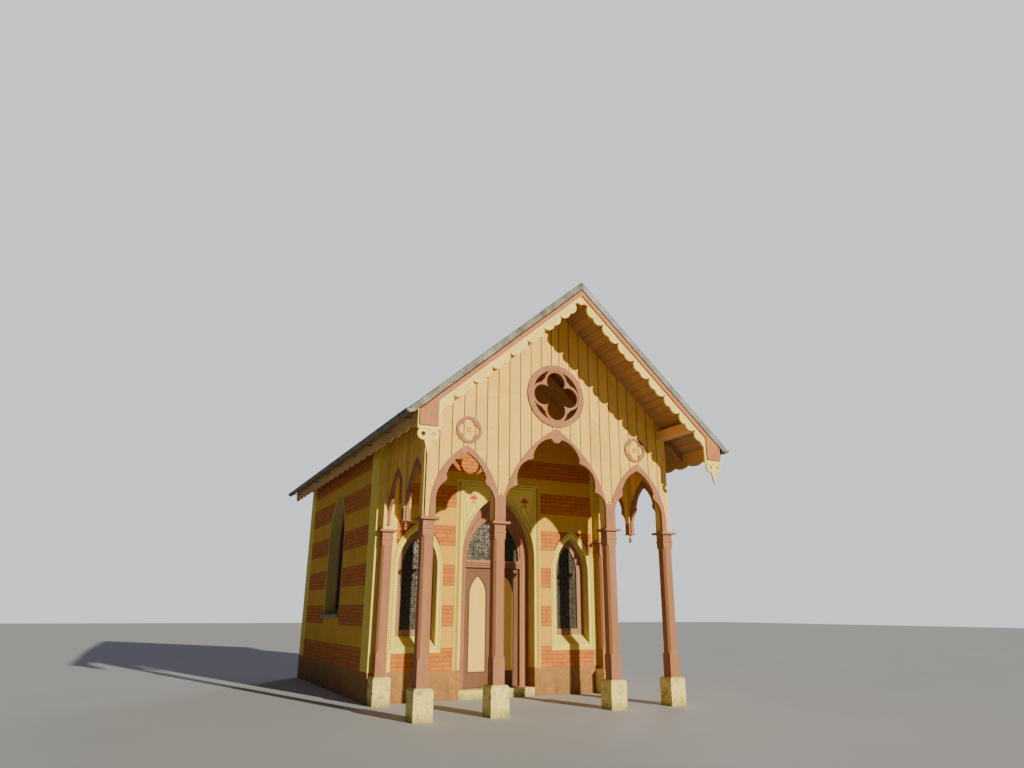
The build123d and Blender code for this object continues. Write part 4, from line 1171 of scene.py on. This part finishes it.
# Leading of the windows: roundels with small diamonds in and between them
def leading(window, centre, place_at, turn, thickness, pitch, rise):
    """Rings and diamonds of lead over a pointed pane, on both faces of the glass."""
    half, bottom, spring, radius = window
    came, diamond_half, centre_size = 0.0042, 0.017, 1.3

    def flat(across, up, out=0.0):
        return Vector((across, up * rise / pitch, out))

    ring = beads([circle_path(pitch / 2, steps=14)], came, flat)
    diamond_path = [(diamond_half, 0), (0, diamond_half), (-diamond_half, 0), (0, -diamond_half)]
    diamond = slab([diamond_path], flat, -0.003, 0.003)
    rings, diamonds = [], []
    top = spring + sqrt(radius**2 - (radius - half) ** 2)
    columns = int(half / pitch) + 1
    for row in range(int((top - bottom) / rise) + 1):
        up = bottom + (row + 0.5) * rise
        if up > top + rise * 0.2:
            continue
        reach = lancet_reach(window, 0.0, up, up + 0.001) + pitch * 0.3
        for across in (column * pitch for column in range(-columns, columns + 1)):
            if abs(across) > reach:
                continue
            for out in (-thickness / 2, thickness / 2):
                middle = place_at(centre + across, up, out)
                between = place_at(centre + across + pitch / 2, up + rise / 2, out)
                rings.append((middle, (1, 1, 1), turn))
                diamonds.append((between, (1, 1, 1), turn))
                diamonds.append((middle, (centre_size, centre_size, 1), turn))
    return [repeated("rings", ring, rings, lead), repeated("diamonds", diamond, diamonds, lead)]


def lead_the_windows():
    front_glass = sum(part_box("front_window_glass"), Vector()).y / 2
    door_glass = sum(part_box("tympanum_glass"), Vector()).y / 2
    side_glass = half_width - 0.230
    upright = pi / 2
    forward = (upright, 0, 0)
    leads = []
    for side in (-1, 1):
        centre, sideways = side * front_window_x, (upright, 0, side * pi / 2)
        leads += leading(front_light, centre, on_front(front_glass), forward, *front_leading)
        leads += leading(side_light, side_window_y, on_side(side * side_glass), sideways, *side_leading)
    leads += leading(door_light, 0.0, on_front(door_glass), forward, *door_leading)
    piece("window_leading", leads, lead)


# Doorway: mouldings of the frame and transom, and yellow pointed panels in the leaves
def mould_the_frame():
    place = on_front(frame_y)
    half, groove_proud, sash_back, sash_face = 0.564, 0.0015, -0.046, -0.008
    rails = ((2.231, 2.256, 0.010), (2.272, 2.297, 0.010), (2.312, 2.356, 0.008))
    # Dark strips in the grooves between the transom rails, under the lowest rail and round the sash are
    # painted shade
    grooves = ((2.2225, 2.231), (2.256, 2.272), (2.297, 2.312))
    rail_meshes = [slab([rectangle(-half, half, low, high)], place, -sink, out) for low, high, out in rails]
    edges = [lancet_path(doorway, grow, 0.0, floor_top + 0.003) for grow in (-0.150, -0.012)]
    sash = slab([lancet_path(sash_outside), lancet_path(sash_inside)], place, sash_back, sash_face)
    edge_beads = [beads([edge], bead_radius, place, line_out) for edge in edges]
    glass_bead = beads([lancet_path(sash_inside, 0.006)], bead_radius, place, sash_face)
    groove_shade_meshes = [
        slab([rectangle(-half, half, low, high)], place, -sink, groove_proud) for low, high in grooves
    ]
    groove_shade_meshes.append(beads([lancet_path(sash_outside, 0.004)[1:-1]], line_radius, place, 0.0, False))
    mouldings = rail_meshes + [sash] + edge_beads + [glass_bead]
    piece("door_frame_mouldings", mouldings, finishes["mauve_timber"])
    piece("door_frame_grooves", groove_shade_meshes, groove_shade_paint)


def panel_the_leaves():
    face = on_front(leaf_y)
    middle, sheet_back, sheet_face = 0.2832, -0.012, -0.009
    meeting_x, leaf_foot, leaf_head, meeting_radius = 0.018, 0.160, 2.210, 0.007
    for side, name in ((-1, "left"), (1, "right")):
        body = "door_" + name
        x = side * middle
        sheet = slab([lancet_path(door_panel, -0.001, x)], face, sheet_back, sheet_face)
        moulding = beads([lancet_path(door_panel, grow, x) for grow in (0.003, 0.017)], bead_radius, face)
        edge = [(side * meeting_x, leaf_foot), (side * meeting_x, leaf_head)]
        meeting = beads([edge], meeting_radius, face, 0.0, False, roll_roundness)
        piece("door_panel_" + name, [sheet], panel_paint, body)
        piece("door_moulding_" + name, [moulding, meeting], finishes["door_paint"], body)


lay_bricks()
board_the_porch()
board_the_soffit()
lay_tiles()
dress_the_verge()
roll_the_edges()
mark_the_gable()
paint_the_front()
paint_the_spandrels()
border_the_side_windows()
lead_the_windows()
mould_the_frame()
panel_the_leaves()


# Stage, light and camera
def lay_the_floor():
    bpy.ops.mesh.primitive_plane_add(size=160)
    ground = bpy.context.object
    ground.name = "studio_floor"
    floor = Finish("pale studio floor", 0.9)
    floor.colour(floor.mix(floor.noise(0.4), paint(186, 194, 208), paint(196, 204, 218)))
    ground.data.materials.append(floor.material)


def light_the_stage():
    """A low warm sun, a weak broad one from the other side, and a pale backdrop that lights nothing."""
    for name, energy, softness, colour, way in (
        ("key", 5.8, 0.9, (1.0, 0.88, 0.62), (-0.2727, 0.9254, -0.2632)),
        ("fill", 0.38, 12.0, (1.0, 0.91, 0.98), (-0.55, -0.62, -0.56)),
    ):
        sun = bpy.data.lights.new(name, "SUN")
        sun.energy = energy
        sun.angle = radians(softness)
        sun.color = colour
        placed(name, sun).rotation_euler = Vector(way).to_track_quat("-Z", "Y").to_euler()
    world = bpy.data.worlds.new("studio")
    bpy.context.scene.world = world
    world.use_nodes = True
    tree = world.node_tree
    sky = tree.nodes["Background"]
    backdrop = tree.nodes.new("ShaderNodeBackground")
    for background, colour, strength in (
        (sky, (0.92, 0.88, 1.0, 1), 0.1),
        (backdrop, (0.80, 0.84, 0.88, 1), 1.15),
    ):
        background.inputs["Color"].default_value = colour
        background.inputs["Strength"].default_value = strength
    seen = tree.nodes.new("ShaderNodeLightPath").outputs["Is Camera Ray"]
    both = tree.nodes.new("ShaderNodeMixShader")
    for socket, source in enumerate((seen, sky.outputs[0], backdrop.outputs[0])):
        tree.links.new(source, both.inputs[socket])
    tree.links.new(both.outputs[0], tree.nodes["World Output"].inputs["Surface"])


def aim_camera():
    """Camera solved from the building's own upright, side and front lines."""
    level_out = Vector((sin(camera_yaw), cos(camera_yaw), 0))
    ahead = level_out * cos(camera_pitch) + Vector((0, 0, sin(camera_pitch)))
    level = Vector((cos(camera_yaw), -sin(camera_yaw), 0))
    upward = level.cross(ahead)
    right = level * cos(camera_roll) + upward * sin(camera_roll)
    top = upward * cos(camera_roll) - level * sin(camera_roll)
    data = bpy.data.cameras.new("photo view")
    data.sensor_width = sensor_width
    data.lens = camera_focal_px / photo_width_px * sensor_width
    camera = placed("photo view", data)
    turn = Matrix((right, top, -ahead)).transposed().to_4x4()
    camera.matrix_world = Matrix.Translation(camera_place) @ turn
    bpy.context.scene.camera = camera


lay_the_floor()
light_the_stage()
aim_camera()
